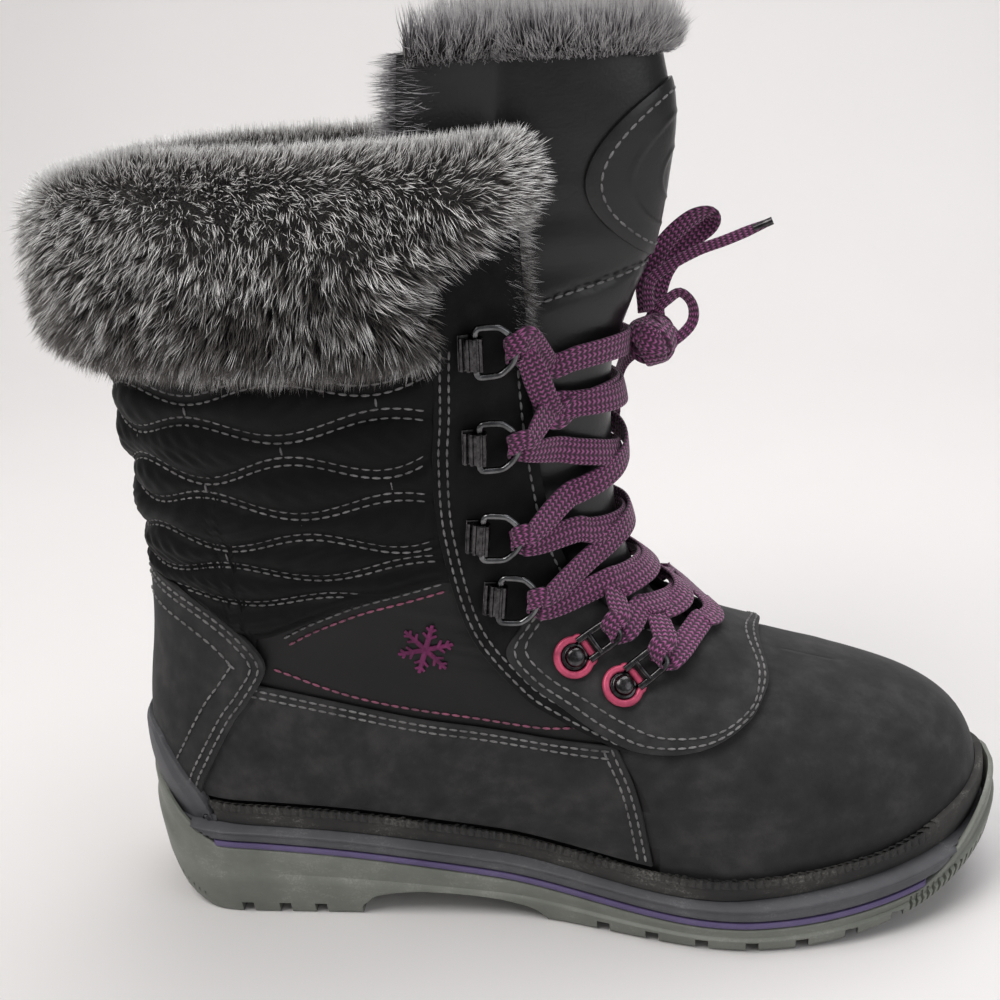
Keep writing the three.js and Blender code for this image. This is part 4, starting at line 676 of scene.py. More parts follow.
def leather(name, dark, pale, gloss, grain, shine=0.28):
    f = Finish(name)
    where = f.coords()
    pores = f.cells(where, grain)
    crease = f.noise(f.coords((1, 1, 2.6)), 75, 6, 0.6)
    cloud = f.noise(where, 30, 3)
    colour = f.ramp(cloud * 0.6 + crease * 0.4, (0.35, dark), (0.65, pale))
    rough = gloss + (crease - 0.5) * 0.25
    return f.wear(
        base_color=colour, roughness=rough, specular_ior_level=shine,
        normal=f.bump(pores * 0.25 + crease * 0.75, 0.22, 0.0006),
    )


def cloth(name, dark, pale, scale):
    f = Finish(name)
    where = f.coords()
    fibre = f.noise(where, scale, 6, 0.75)
    cloud = f.noise(where, 60, 3)
    colour = f.ramp(fibre * 0.7 + cloud * 0.3, (0.35, dark), (0.68, pale))
    return f.wear(base_color=colour, roughness=0.95, sheen_weight=0.2, normal=f.bump(fibre, 0.9, 0.0012))


def hair(name, root, middle, tip, pale_tip):
    f = Finish(name)
    pile = f.node("ShaderNodeAttribute", {"attribute_name": "pile"}, {}, "Color")
    node = f.nodes.new("ShaderNodeSeparateColor")
    f.feed(node, {"Color": pile})
    along, tuft, own_tone = (Socket(f, node.outputs[i]) for i in range(3))
    plain = f.ramp(along, (0.0, root), (0.35, root), (0.62, middle), (0.95, tip))
    pale_middle = tuple(2.4 * c for c in middle)
    light = f.ramp(along, (0.0, middle), (0.2, middle), (0.42, pale_middle), (0.72, pale_tip))
    # Hairs higher up are blended further towards the pale-tipped colour. This is painted light falling on
    # the top of the fur, added to the tufts' own random tone.
    high = f.height().step(0.205, 0.25) * 0.5
    colour = f.blend((tuft * 0.6 + own_tone * 0.4 + high).step(0.5, 0.86), plain, light)
    return f.wear(base_color=colour, roughness=0.5, specular_ior_level=0.35)


def thread(name, colour, dull):
    f = Finish(name)
    where = f.coords()
    fuzz = f.noise(where, 3000, 2)
    worn = f.noise(where, 120, 3)
    return f.wear(
        base_color=f.ramp(worn * 0.7 + fuzz * 0.3, (0.35, dull), (0.62, colour)), roughness=0.75,
        normal=f.bump(fuzz, 0.6, 0.0002),
    )


def rubber(name, dark, pale, dust, amount, rough):
    f = Finish(name)
    where = f.coords()
    cloud = f.noise(where, 38, 5, 0.6)
    scuff = f.noise(f.coords((1, 1, 3)), 220, 5, 0.7)
    speck = f.noise(where, 1400, 3, 0.6)
    colour = f.ramp(cloud, (0.35, dark), (0.65, pale))
    dusty = (scuff * 0.5 + cloud * 0.5).step(0.5, 0.66) * speck.step(0.42, 0.62) * amount
    colour = f.blend(dusty, colour, dust)
    return f.wear(
        base_color=colour, roughness=rough + dusty * 0.3 + (scuff - 0.5) * 0.12,
        normal=f.bump(scuff * 0.6 + speck * 0.4, 0.25, 0.0003),
    )


def gunmetal(name):
    f = Finish(name)
    where = f.coords()
    scratch = f.noise(where, 420, 5, 0.7)
    tarnish = f.noise(where, 160, 3)
    colour = f.ramp(tarnish * 0.5 + scratch * 0.5, (0.35, (0.06, 0.06, 0.063)), (0.65, (0.2, 0.2, 0.205)))
    return f.wear(
        base_color=colour, metallic=1.0, roughness=0.12 + scratch * 0.18,
        normal=f.bump(scratch, 0.12, 0.0002)
    )


def dark_metal(name):
    f = Finish(name)
    where = f.coords()
    scratch = f.noise(where, 600, 4, 0.7)
    colour = f.ramp(scratch, (0.35, (0.025, 0.024, 0.025)), (0.65, (0.1, 0.095, 0.098)))
    return f.wear(
        base_color=colour, metallic=1.0, roughness=0.14 + scratch * 0.2, normal=f.bump(scratch, 0.12, 0.0002)
    )


def rose_enamel(name):
    f = Finish(name)
    where = f.coords()
    chip = f.noise(where, 520, 4, 0.7)
    cloud = f.noise(where, 150, 2)
    colour = f.ramp(cloud * 0.5 + chip * 0.5, (0.34, (0.33, 0.035, 0.085)), (0.62, (0.62, 0.085, 0.17)))
    return f.wear(
        base_color=colour, metallic=0.25, roughness=0.28 + chip * 0.22, normal=f.bump(chip, 0.15, 0.0002)
    )


def plum_lace(name):
    """Five wales of chevron weave on the band's own UV map, painted paler on its raised rows as a painted
    highlight and darker in the gaps between wales as painted shade.
    """
    f = Finish(name)
    across, along = f.across_and_along()
    wale = (across * 5).part()
    valley = ((wale - 0.5) * 2).size()
    rows = (along * 4.6 + valley * 0.5).wave()
    height = (rows * 0.5 + 0.5) * (1 - valley * valley * 0.7)
    fibre = f.noise(f.coords(), 1500, 3)
    tone = height * 0.75 + fibre * 0.25
    # The colour follows the weave's height. The pale stop is a painted highlight on the raised rows, and the
    # deep stop is painted shade in the valleys and gaps. The fibre noise is the yarn's own tone.
    deep, mid, painted_highlight = (0.022, 0.003, 0.017), (0.115, 0.013, 0.075), (0.42, 0.1, 0.3)
    colour = f.ramp(tone, (0.18, deep), (0.5, mid), (0.82, painted_highlight))
    return f.wear(
        base_color=colour, roughness=0.62 + fibre * 0.2, sheen_weight=0.25,
        normal=f.bump(tone, 0.8, 0.0006),
    )


def pale_floor(name):
    f = Finish(name)
    cloud = f.noise(f.coords(), 1.4, 3)
    colour = f.ramp(cloud, (0.3, (0.72, 0.7, 0.695)), (0.7, (0.76, 0.74, 0.735)))
    return f.wear(base_color=colour, roughness=0.9)


# Each finish: its maker, then that maker's own values after the name.
FINISHES = {
    "charcoal_nubuck": (nubuck, (0.022, 0.022, 0.0228), (0.032, 0.0315, 0.032), (0.052, 0.05, 0.05)),
    "black_nubuck": (nubuck, (0.005, 0.005, 0.0055), (0.008, 0.008, 0.0085), (0.014, 0.0135, 0.014)),
    "smooth_leather": (leather, (0.0055, 0.0052, 0.0055), (0.0105, 0.0095, 0.0095), 0.5, 1100),
    "tongue_leather": (leather, (0.006, 0.0058, 0.006), (0.012, 0.0112, 0.0112), 0.34, 900, 0.5),
    "quilted_leather": (leather, (0.0018, 0.0018, 0.002), (0.0038, 0.0037, 0.0039), 0.58, 1200, 0.15),
    "fleece_lining": (cloth, (0.012, 0.011, 0.011), (0.075, 0.068, 0.064), 900),
    "felt": (cloth, (0.022, 0.021, 0.022), (0.055, 0.052, 0.05), 1500),
    "fur_skin": (cloth, (0.014, 0.013, 0.013), (0.07, 0.064, 0.06), 700),
    "cuff_hair": (
        hair, (0.009, 0.0085, 0.009), (0.08, 0.073, 0.069), (0.2, 0.181, 0.168), (0.95, 0.94, 0.93),
    ),
    "tongue_hair": (
        hair, (0.02, 0.019, 0.022), (0.13, 0.124, 0.13), (0.26, 0.25, 0.255), (0.62, 0.605, 0.605),
    ),
    "grey_thread": (thread, (0.23, 0.224, 0.224), (0.075, 0.072, 0.072)),
    "rose_thread": (thread, (0.34, 0.1, 0.17), (0.15, 0.06, 0.09)),
    "plum_thread": (thread, (0.26, 0.035, 0.15), (0.09, 0.012, 0.055)),
    "midsole_rubber": (
        rubber, (0.056, 0.056, 0.063), (0.088, 0.088, 0.097), (0.22, 0.215, 0.215), 0.5, 0.62,
    ),
    "welt_rubber": (rubber, (0.026, 0.025, 0.025), (0.05, 0.048, 0.045), (0.19, 0.18, 0.165), 0.85, 0.85),
    "stripe_rubber": (rubber, (0.085, 0.062, 0.155), (0.12, 0.092, 0.205), (0.2, 0.19, 0.22), 0.35, 0.6),
    "outsole_rubber": (rubber, (0.125, 0.132, 0.113), (0.185, 0.193, 0.168), (0.4, 0.4, 0.37), 0.35, 0.48),
    "gunmetal": (gunmetal,),
    "dark_metal": (dark_metal,),
    "rose_enamel": (rose_enamel,),
    "plum_lace": (plum_lace,),
    "pale_floor": (pale_floor,),
}


def finish(name):
    """The material of that name, made when it is first asked for."""
    made = bpy.data.materials.get(f"{name}_finish")
    if made:
        return made
    maker, *values = FINISHES[name]
    return maker(name, *values)


# Sizes that a user would change


class BootSizes(bpy.types.PropertyGroup):
    stitch_pitch: bpy.props.FloatProperty(
        name="Stitch pitch", description="Distance from one stitch to the next, in mm", default=3.3, min=2,
        max=6
    )
    lace_width: bpy.props.FloatProperty(
        name="Lace width", description="Width of the flat lace, in mm", default=8.2, min=5, max=9
    )
    hair_length: bpy.props.FloatProperty(
        name="Hair length", description="Length of the cuff's longest hairs, in mm", default=12.5, min=6,
        max=16
    )
    cuff_hairs: bpy.props.IntProperty(
        name="Cuff hairs", description="Number of hairs on each half of the cuff", default=41600, min=2000,
        max=64000
    )
    tongue_hairs: bpy.props.IntProperty(
        name="Tongue hairs", description="Number of hairs on the tongue's edge", default=22000, min=2000,
        max=60000
    )
    quilt_puff: bpy.props.FloatProperty(
        name="Quilting puff", description="Height of the quilting between its seams, in mm", default=2.3,
        min=0, max=3
    )
    key_light: bpy.props.FloatProperty(
        name="Key light", description="Power of the main soft light", default=11, unit="POWER", min=0
    )
    room_light: bpy.props.FloatProperty(
        name="Room light", description="Strength of the pale room's light", default=0.3, min=0, max=2
    )


class BootOperator(bpy.types.Operator):
    """A step that makes one piece of the boot, or a group of like pieces"""

    bl_idname = "boot.step"
    bl_label = "Step"
    bl_options = {"REGISTER", "UNDO"}

    def execute(self, context):
        self.make(context.scene.snow_boot)
        return {"FINISHED"}

    def make(self, sizes):
        raise NotImplementedError


# Sole

SOLE_PLAN = (1, 0.64, 1, 0.125, 0.26, 1)
END_ANGLE = 0.045
CUP_LENGTH = 30


def outline_point(s, side, inset):
    """A point of the sole's outline at share s, moved inwards by inset."""
    row = np.broadcast_to(np.array((0,) * 5 + SOLE_PLAN, float), s.shape + (11,))
    a, b = np.maximum(0, s - 0.004), np.minimum(1, s + 0.004)
    slope = (plan_at(row, b, side) - plan_at(row, a, side)) / ((b - a) * BOOT_LENGTH)
    length = np.hypot(1, slope)
    x = s * BOOT_LENGTH + inset * side * slope / length
    return x, plan_at(row, s, side) - inset * side / length


def cup_rise(x):
    heel = 23 * np.clip(1 - x / CUP_LENGTH, 0, 1) ** 1.4
    return heel + 19 * np.clip(1 - (BOOT_LENGTH - x) / CUP_LENGTH, 0, 1) ** 1.4


def rim_line(x):
    return floor_line(x) + cup_rise(x)


def stripe_top(x):
    return floor_line(x) + 2.4


def sole_ring(name, columns, rows, shape=None):
    """A closed skin round the sole. Each row has its inset, or None for the middle line, and its height."""

    def place(u, v):
        u = np.where(u > 1 - 1e-6, 0, u)
        turn = 2 * math.pi * u
        side = np.where(u <= 0.5, LATERAL, MEDIAL)
        theta = np.where(u <= 0.5, turn, 2 * math.pi - turn)
        theta = END_ANGLE + theta * (math.pi - 2 * END_ANGLE) / math.pi
        s = share_of(theta)
        row = np.round(v * (len(rows) - 1)).astype(int)
        deepest = max(r[0] or 0 for r in rows)
        x, y = outline_point(s, side, np.array([r[0] or 0 for r in rows], float)[row])
        middle = np.clip(s * BOOT_LENGTH, deepest, BOOT_LENGTH - deepest)
        flat = np.array([r[0] is None for r in rows])[row]
        x, y = np.where(flat, middle, x), np.where(flat, 7 * ease((middle / BOOT_LENGTH - 0.5) * 2), y)
        heights = np.stack([r[1](s * BOOT_LENGTH) for r in rows])
        points = np.stack([x, y, heights[row, np.arange(len(row))]], -1)
        return points if shape is None else shape(points, s, side, row)

    return closed_grid(name, columns, len(rows) - 1, place)


def between(low, high, share):
    return lambda x: low(x) + (high(x) - low(x)) * share


def cutter(boxes):
    """Boxes as one object, each given by its lowest and highest corner and its turn about z."""
    made = []
    for low, high, turn in boxes:
        low, high = np.array(low, float), np.array(high, float)
        bpy.ops.object.select_all(action="DESELECT")
        bpy.ops.mesh.primitive_cube_add(size=1)
        box = bpy.context.object
        corners = points_of(box) * (high - low)
        c, s = math.cos(turn), math.sin(turn)
        corners[:, :2] = corners[:, :2] @ np.array([[c, s], [-s, c]])
        set_points(box, corners + (low + high) / 2)
        made.append(box)
    return join("cutter", made)


def cut(obj, tool):
    modify(obj, "BOOLEAN", operation="DIFFERENCE", solver="EXACT", object=tool)
    bpy.data.objects.remove(tool)


GROOVES = (0.125, 0.17, 0.213, 0.545, 0.6, 0.655, 0.71, 0.765, 0.82, 0.872)
# The channel along the middle of the forefoot runs between these shares of the length.
CHANNEL = (0.545, 0.82)
ARCH = (
    (0.268, -0.3), (0.262, 0.06), (0.27, 0.16), (0.285, 0.25), (0.33, 0.3), (0.39, 0.27), (0.44, 0.2),
    (0.475, 0.08), (0.495, -0.3),
)
HEEL_RIBS = 9
TOE_RIBS = 15


def arch_cutter():
    line = spline(np.array(ARCH) * (BOOT_LENGTH, SEAT_HEIGHT), 40)

    def place(u, v):
        i = np.round(u * 40).astype(int) % 40
        return np.stack([line[i, 0], -80 + 160 * v, line[i, 1]], -1)

    tool = grid("cutter", 40, 1, place)
    edit(tool, WELD, CAP, OUTWARDS)
    return tool


def rib_boxes():
    boxes = []
    for start, end, count, height in ((0.004, 0.075, HEEL_RIBS, 7), (0.885, 0.985, TOE_RIBS, 8)):
        for i in range(count):
            for side in (LATERAL, MEDIAL):
                s = np.array(start + (end - start) * (i + 0.5) / count)
                x, y = outline_point(s, np.array(side), 0)
                a, b = outline_point(s, np.array(side), 1)
                z = float(under_line(s * BOOT_LENGTH)) + height / 2 - 1
                place = np.array([x, y, z])
                half = np.array([1.3, 0.55, height / 2])
                boxes.append((place - half, place + half, math.atan2(y - b, x - a)))
    return boxes


class BOOT_OT_outsole(BootOperator):
    """Cup-shaped outsole with its lugs, arch, raised step and upright ribs"""

    bl_idname = "boot.outsole"
    bl_label = "Outsole"

    def make(self, sizes):
        profile = (
            (0.0, 2.6), (0.035, 1.9), (0.16, 1.0), (0.3, 0.55), (0.42, 0.2), (0.5, 0.0), (0.56, 0.0),
            (0.6, 0.35), (0.64, 1.0), (0.8, 0.8), (0.93, 0.65), (0.98, 0.9), (1.0, 1.5),
        )
        rows = [(None, under_line), (12, under_line)]
        rows += [(inset, between(under_line, rim_line, share)) for share, inset in profile]
        rows += [
            (2.4, rim_line), (2.8, between(floor_line, rim_line, 0.9)), (2.8, floor_line), (None, floor_line)
        ]
        obj = sole_ring("outsole_fine", 260, rows)
        depth = 4.5
        lugs = []
        for at in GROOVES:
            x = at * BOOT_LENGTH
            lugs.append(((x - 2.1, -80, -5), (x + 2.1, 80, float(under_line(x)) + depth), 0))
        cut(obj, cutter(lugs))
        start, end = (at * BOOT_LENGTH for at in CHANNEL)
        channel = (start, -4.5, -5), (end, 4.5, depth - 0.2)
        cut(obj, join("cutter", [arch_cutter(), cutter([(*channel, 0)])]))
        cut(obj, cutter(rib_boxes()))
        modify(obj, "BEVEL", width=0.0003, segments=1, limit_method="ANGLE", angle_limit=math.radians(55))
        own(smooth(obj, 35), ["outsole_rubber"], "outsole_rubber", "outsole")


class BOOT_OT_midsole(BootOperator):
    """Dark midsole with its worn ridge, the coloured stripe under it and the guard behind the heel"""

    bl_idname = "boot.midsole"
    bl_label = "Midsole and stripe"

    def make(self, sizes):
        low, high = stripe_top, lambda x: seat_line(x) - 0.4
        profile = (
            (0.03, 1.9), (0.08, 1.3), (0.14, 0.9), (0.3, 0.7), (0.5, 0.65), (0.66, 0.7), (0.7, 0.45),
            (0.76, 0.15), (0.82, 0.05), (0.88, 0.2), (0.92, 0.7), (0.94, 1.3), (1.0, 1.8),
        )
        rows = [(None, between(low, high, 0.03)), (8, between(low, high, 0.03))]
        rows += [(inset, between(low, high, share)) for share, inset in profile]
        rows += [(12, high), (None, high)]

        def inside_cup(points, s, side, row):
            deep = np.array([0 if r[0] is None or r[0] > 5 else 1 for r in rows])[row]
            x, y = outline_point(s, side, 3.1)
            at = s * BOOT_LENGTH
            behind = (points[:, 2] < rim_line(at) + 0.5) & (cup_rise(at) > 0.5) & (deep > 0)
            points[behind, 0], points[behind, 1] = x[behind], y[behind]
            return points

        obj = sole_ring("midsole_fine", 220, rows, inside_cup)
        guard = self.guard()
        own(join("midsole_fine", [smooth(obj, 50), guard]), ["midsole_rubber"], "midsole_rubber", "midsole")
        floor = between(floor_line, stripe_top, 0.15)
        rows = [(None, floor), (1.5, floor), (0.9, floor), (0.55, between(floor, stripe_top, 0.3))]
        rows += [
            (0.55, between(floor, stripe_top, 0.7)), (0.9, stripe_top), (2.5, stripe_top), (None, stripe_top)
        ]

        def inside(points, s, side, row):
            x, y = outline_point(s, side, 3.2)
            behind = cup_rise(s * BOOT_LENGTH) > 0.8
            edge = np.array([r[0] is not None for r in rows])[row]
            points[behind & edge, 0], points[behind & edge, 1] = x[behind & edge], y[behind & edge]
            return points

        stripe = sole_ring("stripe_fine", 220, rows, inside)
        own(smooth(stripe, 50), ["stripe_rubber"], "stripe_rubber", "sole_stripe")

    def guard(self):
        line = side_line(
            ((-0.06, 0.158), (0.03, 0.15), (0.052, 0.125), (0.072, 0.085), (0.088, 0.045), (0.1, -0.03))
        )
        line = line[line[:, 0] > 4]
        t, theta = place_of(line[:, 0], line[:, 1], MEDIAL)

        def place(u, v, lift):
            at = v * (len(t) - 1)
            row, edge = (np.interp(at, np.arange(len(t)), values) for values in (t, theta))
            across = (2 * u - 1) * edge
            inward = np.minimum((1 - np.abs(2 * u - 1)) * 30, v * 0 + 9)
            step = 0.9 * ease((inward - 3.2) / 1.2) * ease((at - 3) / 3)
            return offset(row, across, 4.1 + step + lift)

        return sheet("guard", 80, 36, place, 3.2, 0.7)


class BOOT_OT_welt(BootOperator):
    """Knurled rubber strip round the foot of the upper, smooth at the toe"""

    bl_idname = "boot.welt"
    bl_label = "Welt"

    def make(self, sizes):
        def place(u, v, lift):
            turn = (2 * u - 1) * (math.pi - 0.56)
            theta = np.where(turn < 0, turn + math.pi, turn - math.pi)
            ahead = np.clip(1 - np.abs(turn) / 0.75, 0, 1) ** 1.2
            top = 0.86 + 0.89 * ahead
            x = surface(top * 0.5, theta)[:, 0]
            knurl = 1 - ease((x - 258) / 12)
            arc = self.arc(turn)
            tooth = np.abs((arc / 2.6) % 1 - 0.5) * 2
            high = v ** 0.9
            row = 0.06 + (top - 0.06) * high - 0.16 * knurl * tooth * ease((v - 0.6) / 0.35)
            face = 3.4 - 1.0 * high**2
            teeth = 0.75 * knurl * ease((v - 0.52) / 0.1) * ease((1.18 - tooth - (v - 0.55) * 1.9) / 0.35)
            groove = -0.7 * np.exp(-((v - 0.5) / 0.035) ** 2) * knurl
            return offset(row, theta, face + teeth + groove + lift)

        obj = sheet("welt_fine", 1120, 9, place, 2.4, 0)
        own(obj, ["welt_rubber"], "welt_rubber", "welt")

    def arc(self, turn):
        """Length along the strip, in millimetres."""
        turns = np.linspace(-math.pi + 0.5, math.pi - 0.5, 900)
        theta = np.where(turns < 0, turns + math.pi, turns - math.pi)
        line = surface(np.full(900, 0.5), theta)
        steps = np.concatenate([[0], np.cumsum(np.linalg.norm(np.diff(line, axis=0), axis=1))])
        return np.interp(turn, turns, steps)


# Upper

VAMP_SEAM = ((0.566, 0.176), (0.589, 0.086), (0.61, -0.1))
COUNTER_EDGE = (
    (-0.05, 0.455), (0.02, 0.44), (0.062, 0.422), (0.116, 0.392), (0.158, 0.349), (0.182, 0.292),
    (0.158, 0.23), (0.137, 0.191), (0.106, 0.115), (0.086, 0.055), (0.078, -0.04),
)
QUARTER_TOP = ((0.15, 0.262), (0.271, 0.225), (0.37, 0.197), (0.473, 0.182), (0.56, 0.176))
QUILT_BOTTOM = ((0.158, 0.345), (0.19, 0.352), (0.235, 0.38), (0.288, 0.412), (0.342, 0.434), (0.384, 0.45))
EYESTAY_REAR = (
    (0.418, 1.02), (0.405, 0.9), (0.396, 0.78), (0.392, 0.7), (0.387, 0.63), (0.388, 0.508), (0.411, 0.354),
    (0.462, 0.258), (0.507, 0.215), (0.566, 0.172),
)
STAY_EDGE = (
    (0.488, 0.395), (0.462, 0.352), (0.449, 0.316), (0.472, 0.272), (0.507, 0.236), (0.548, 0.196),
    (0.59, 0.168), (0.654, 0.162), (0.705, 0.186), (0.727, 0.214),
)
# The stay's edge crosses the middle of the vamp here.
STAY_FRONT_ROW = 7.22
LAYER_LOW = 1.5
LAYER_HIGH = 2.9
EYESTAY_LIFT = 2.15


def upper_angle(t):
    """How far round the upper reaches at section t, either way from the back."""
    return np.where(t <= THROAT_ROW, math.pi, np.abs(angle_at_width(t, half_gap(t), MEDIAL)))


# Creases of the upper, in the order of a wearer's flex: section, angle, half-length in angle, depth.
CREASES = (
    (7.45, 2.75, 0.34, 0.5), (6.8, 2.62, 0.42, 0.55), (6.1, 2.5, 0.4, 0.4), (5.2, 2.42, 0.3, 0.3),
    (8.2, 1.9, 0.3, 0.6), (8.9, 1.75, 0.35, 0.7), (9.7, 1.85, 0.3, 0.5), (7.4, 1.65, 0.28, 0.4),
    (10.4, 0.5, 0.4, 0.5), (9.6, 0.35, 0.35, 0.5),
)


def creases(t, theta):
    depth = np.zeros(np.broadcast(t, theta).shape)
    for side in (LATERAL, MEDIAL):
        for row, angle, half, deep in CREASES:
            along = (theta - side * angle) / half
            lean = row + 0.22 * np.sin(along * 2.2 + row * 3 + side) + 0.1 * along * side
            depth -= deep * np.exp(-(((t - lean) / 0.1) ** 2)) * np.exp(-(along**2) * 1.6)
            depth += 0.45 * deep * np.exp(-(((t - lean - 0.22) / 0.16) ** 2)) * np.exp(-(along**2) * 1.4)
    return depth


class BOOT_OT_upper(BootOperator):
    """Hollow upper with a nubuck vamp, smooth side panels and a fleece lining"""

    bl_idname = "boot.upper"
    bl_label = "Upper"

    def make(self, sizes):
        def place(u, v, lift):
            t = 16 * v
            theta = (2 * u - 1) * upper_angle(t)
            return offset(t, theta, lift - 0.15 + creases(t, theta))

        obj = sheet("upper_fine", 160, 84, place, 2.3, 0.5, inner=2)
        own(obj, ["charcoal_nubuck", "smooth_leather", "fleece_lining", "fleece_lining"], "nubuck", "upper")
        seam = side_line(((0.53, 0.4), *VAMP_SEAM, (0.612, -0.3)))
        polygons = obj.data.polygons
        centres = np.empty(len(polygons) * 3)
        polygons.foreach_get("center", centres)
        centres = centres.reshape(-1, 3) * 1000 + (HEEL_CENTRE, 0, 0)
        order = np.argsort(seam[:, 1])
        edge = np.interp(centres[:, 2], seam[order, 1], seam[order, 0])
        index = np.empty(len(polygons), np.int32)
        polygons.foreach_get("material_index", index)
        index[(index == 0) & (centres[:, 0] < edge)] = 1
        polygons.foreach_set("material_index", index)
        felt_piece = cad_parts["insole"]
        felt_piece.data.materials.clear()
        felt_piece.data.materials.append(finish("felt"))


def band(line, low=4):
    """A panel across the back, from edge to edge: section and angle along the edge, from its top."""
    line = line[line[:, 0] > low]
    t, theta = place_of(line[:, 0], line[:, 1], MEDIAL)
    return np.concatenate([[t[0]], t]), np.concatenate([[0], theta])


class BOOT_OT_counter(BootOperator):
    """Heel counter that wraps the back of the boot, and the lower quarters beside it"""

    bl_idname = "boot.counter"
    bl_label = "Heel counter and quarters"

    def make(self, sizes):
        t, theta = band(side_line(COUNTER_EDGE, 120))
        keep = t > 1.0
        t, theta = t[keep], theta[keep]

        def counter(u, v, lift):
            at = v * (len(t) - 1)
            row, edge = (np.interp(at, np.arange(len(t)), values) for values in (t, theta))
            across = (2 * u - 1) * edge
            return offset(row, across, LAYER_HIGH - 0.1 + lift + 0.5 * creases(row, across))

        obj = sheet("heel_counter_fine", 60, 60, counter, 1.5, 0.55)
        own(obj, ["charcoal_nubuck"], "nubuck", "heel_counter")
        top, seam = side_line(QUARTER_TOP), side_line(VAMP_SEAM)[::-1]
        for side, word in ((LATERAL, "lateral"), (MEDIAL, "medial")):

            def quarter(u, v, lift):
                x = 30 + 135 * u
                for _ in range(6):
                    high = np.interp(x, top[:, 0], top[:, 1])
                    s = (x / BOOT_LENGTH - 0.022) / 0.954
                    low = section_height(row_at(np.full(x.shape, 0.9)), s)
                    z = low + (high - low) * v
                    x = 24 + (np.interp(z, seam[:, 1], seam[:, 0]) - 24) * u
                t, theta = place_of(x, z, side)
                return offset(t, theta, LAYER_LOW + lift)

            obj = sheet(f"quarter_{word}_fine", 80, 26, quarter, 1.3, 0.5)
            own(obj, ["charcoal_nubuck"], "nubuck", f"quarter_{word}")


# Quilting: each row of paired seams has its section at angle 1.4, its rise per radian, the height of its
# waves, and which way it waves first.
QUILT_ROWS = (
    (13.47, 0.24, 0.125, -1), (12.9, 0.24, 0.125, 1), (12.25, 0.46, 0.175, -1), (11.6, 0.33, 0.15, 1),
    (10.86, 0.6, 0.175, -1), (10.23, 0.85, 0.135, 1), (9.5, 1.0, 0.15, -1),
)
QUILT_TOP = 13.95
WAVE_ANGLE = 0.83


def quilt_row(i, theta):
    base, rise, amplitude, way = QUILT_ROWS[i]
    a = np.sqrt(np.asarray(theta) ** 2 + 0.12)
    return base + rise * (a - 1.44) + way * amplitude * np.cos(
        2 * math.pi * (np.abs(theta) - 0.985) / WAVE_ANGLE
    )


def quilt_relief(t, theta, puff):
    """Height of the quilting's face, swollen between its seams."""
    rows = [np.full(np.shape(theta), 15.0)] + [quilt_row(i, theta) for i in range(len(QUILT_ROWS))]
    rows.append(quilt_row(len(QUILT_ROWS) - 1, theta) - 1.2)
    height = np.zeros(np.shape(theta))
    for above, below in zip(rows[:-1], rows[1:]):
        top, foot = above - 0.06, below + 0.06
        share = np.clip((t - foot) / np.maximum(top - foot, 0.05), 0, 1)
        swell = np.sin(math.pi * share) ** 0.62 * np.clip((top - foot) / 0.62, 0.3, 1.25)
        height = np.where((t <= above) & (t > below), swell, height)
    wrinkle = 0.12 * np.sin(theta * 57 + 9 * np.sin(t * 2.3)) * np.sin(t * 9.1 + theta * 4)
    return puff * height * (1 + wrinkle)


class BOOT_OT_quilting(BootOperator):
    """Padded shaft panel, puffed between wavy pairs of seams"""

    bl_idname = "boot.quilting"
    bl_label = "Quilted shaft"

    def make(self, sizes):
        rear = side_line(EYESTAY_REAR, 90)
        rear_t, rear_theta = place_of(rear[:, 0] + 2, rear[:, 1], MEDIAL)
        order = np.argsort(rear_t)
        rear_t, rear_theta = rear_t[order], rear_theta[order]
        lower = np.vstack([side_line(COUNTER_EDGE)[:30], side_line(QUILT_BOTTOM)])
        lower = lower[(lower[:, 0] > 4) & (lower[:, 1] > 100)]
        lower = lower[np.argsort(lower[:, 0])]
        low_t, low_theta = place_of(lower[:, 0], lower[:, 1] - 2, MEDIAL)
        share = low_theta / np.interp(low_t, rear_t, rear_theta)
        order = np.argsort(share)
        share, low_t = share[order], low_t[order]

        def place(u, v, lift):
            across = 2 * u - 1
            low = np.interp(np.abs(across), share, low_t)
            t = low + (QUILT_TOP - low) * v
            theta = across * np.interp(t, rear_t, rear_theta)
            edge = np.minimum(ease((t - low) / 0.4), ease((1 - np.abs(across)) / 0.035))
            return offset(t, theta, 1.3 + quilt_relief(t, theta, sizes.quilt_puff) * edge + lift)

        obj = sheet("shaft_quilting_fine", 190, 120, place, 1.1, 0)
        own(obj, ["quilted_leather"], "quilted_leather", "shaft_quilting")


def ruled(outer, inner):
    """A panel between two edges of one side, each a line of section and angle."""

    def at(v):
        place = v * (len(outer) - 1)
        i = np.arange(len(outer))
        return [np.interp(place, i, column) for column in (*outer.T, *inner.T)]

    return at


def stay_edges():
    outer = side_line(STAY_EDGE, 70)
    t, theta = place_of(outer[:, 0], outer[:, 1], MEDIAL)
    outer = np.stack([t, theta], -1)
    front = np.array([[STAY_FRONT_ROW, math.pi]])
    share = np.linspace(0, 1, 17)[1:, None]
    outer = np.vstack(
        [outer, outer[-1] + (front - outer[-1]) * np.hstack([np.sin(share * math.pi / 2), share])]
    )
    rows = THROAT_ROW + (outer[0, 0] - THROAT_ROW) * (1 - np.linspace(0, 1, len(outer)) ** 0.75) ** 1.4
    inner = np.stack([rows, upper_angle(np.maximum(rows, THROAT_ROW + 1e-4))], -1)
    inner[-1] = THROAT_ROW, math.pi
    return outer, inner


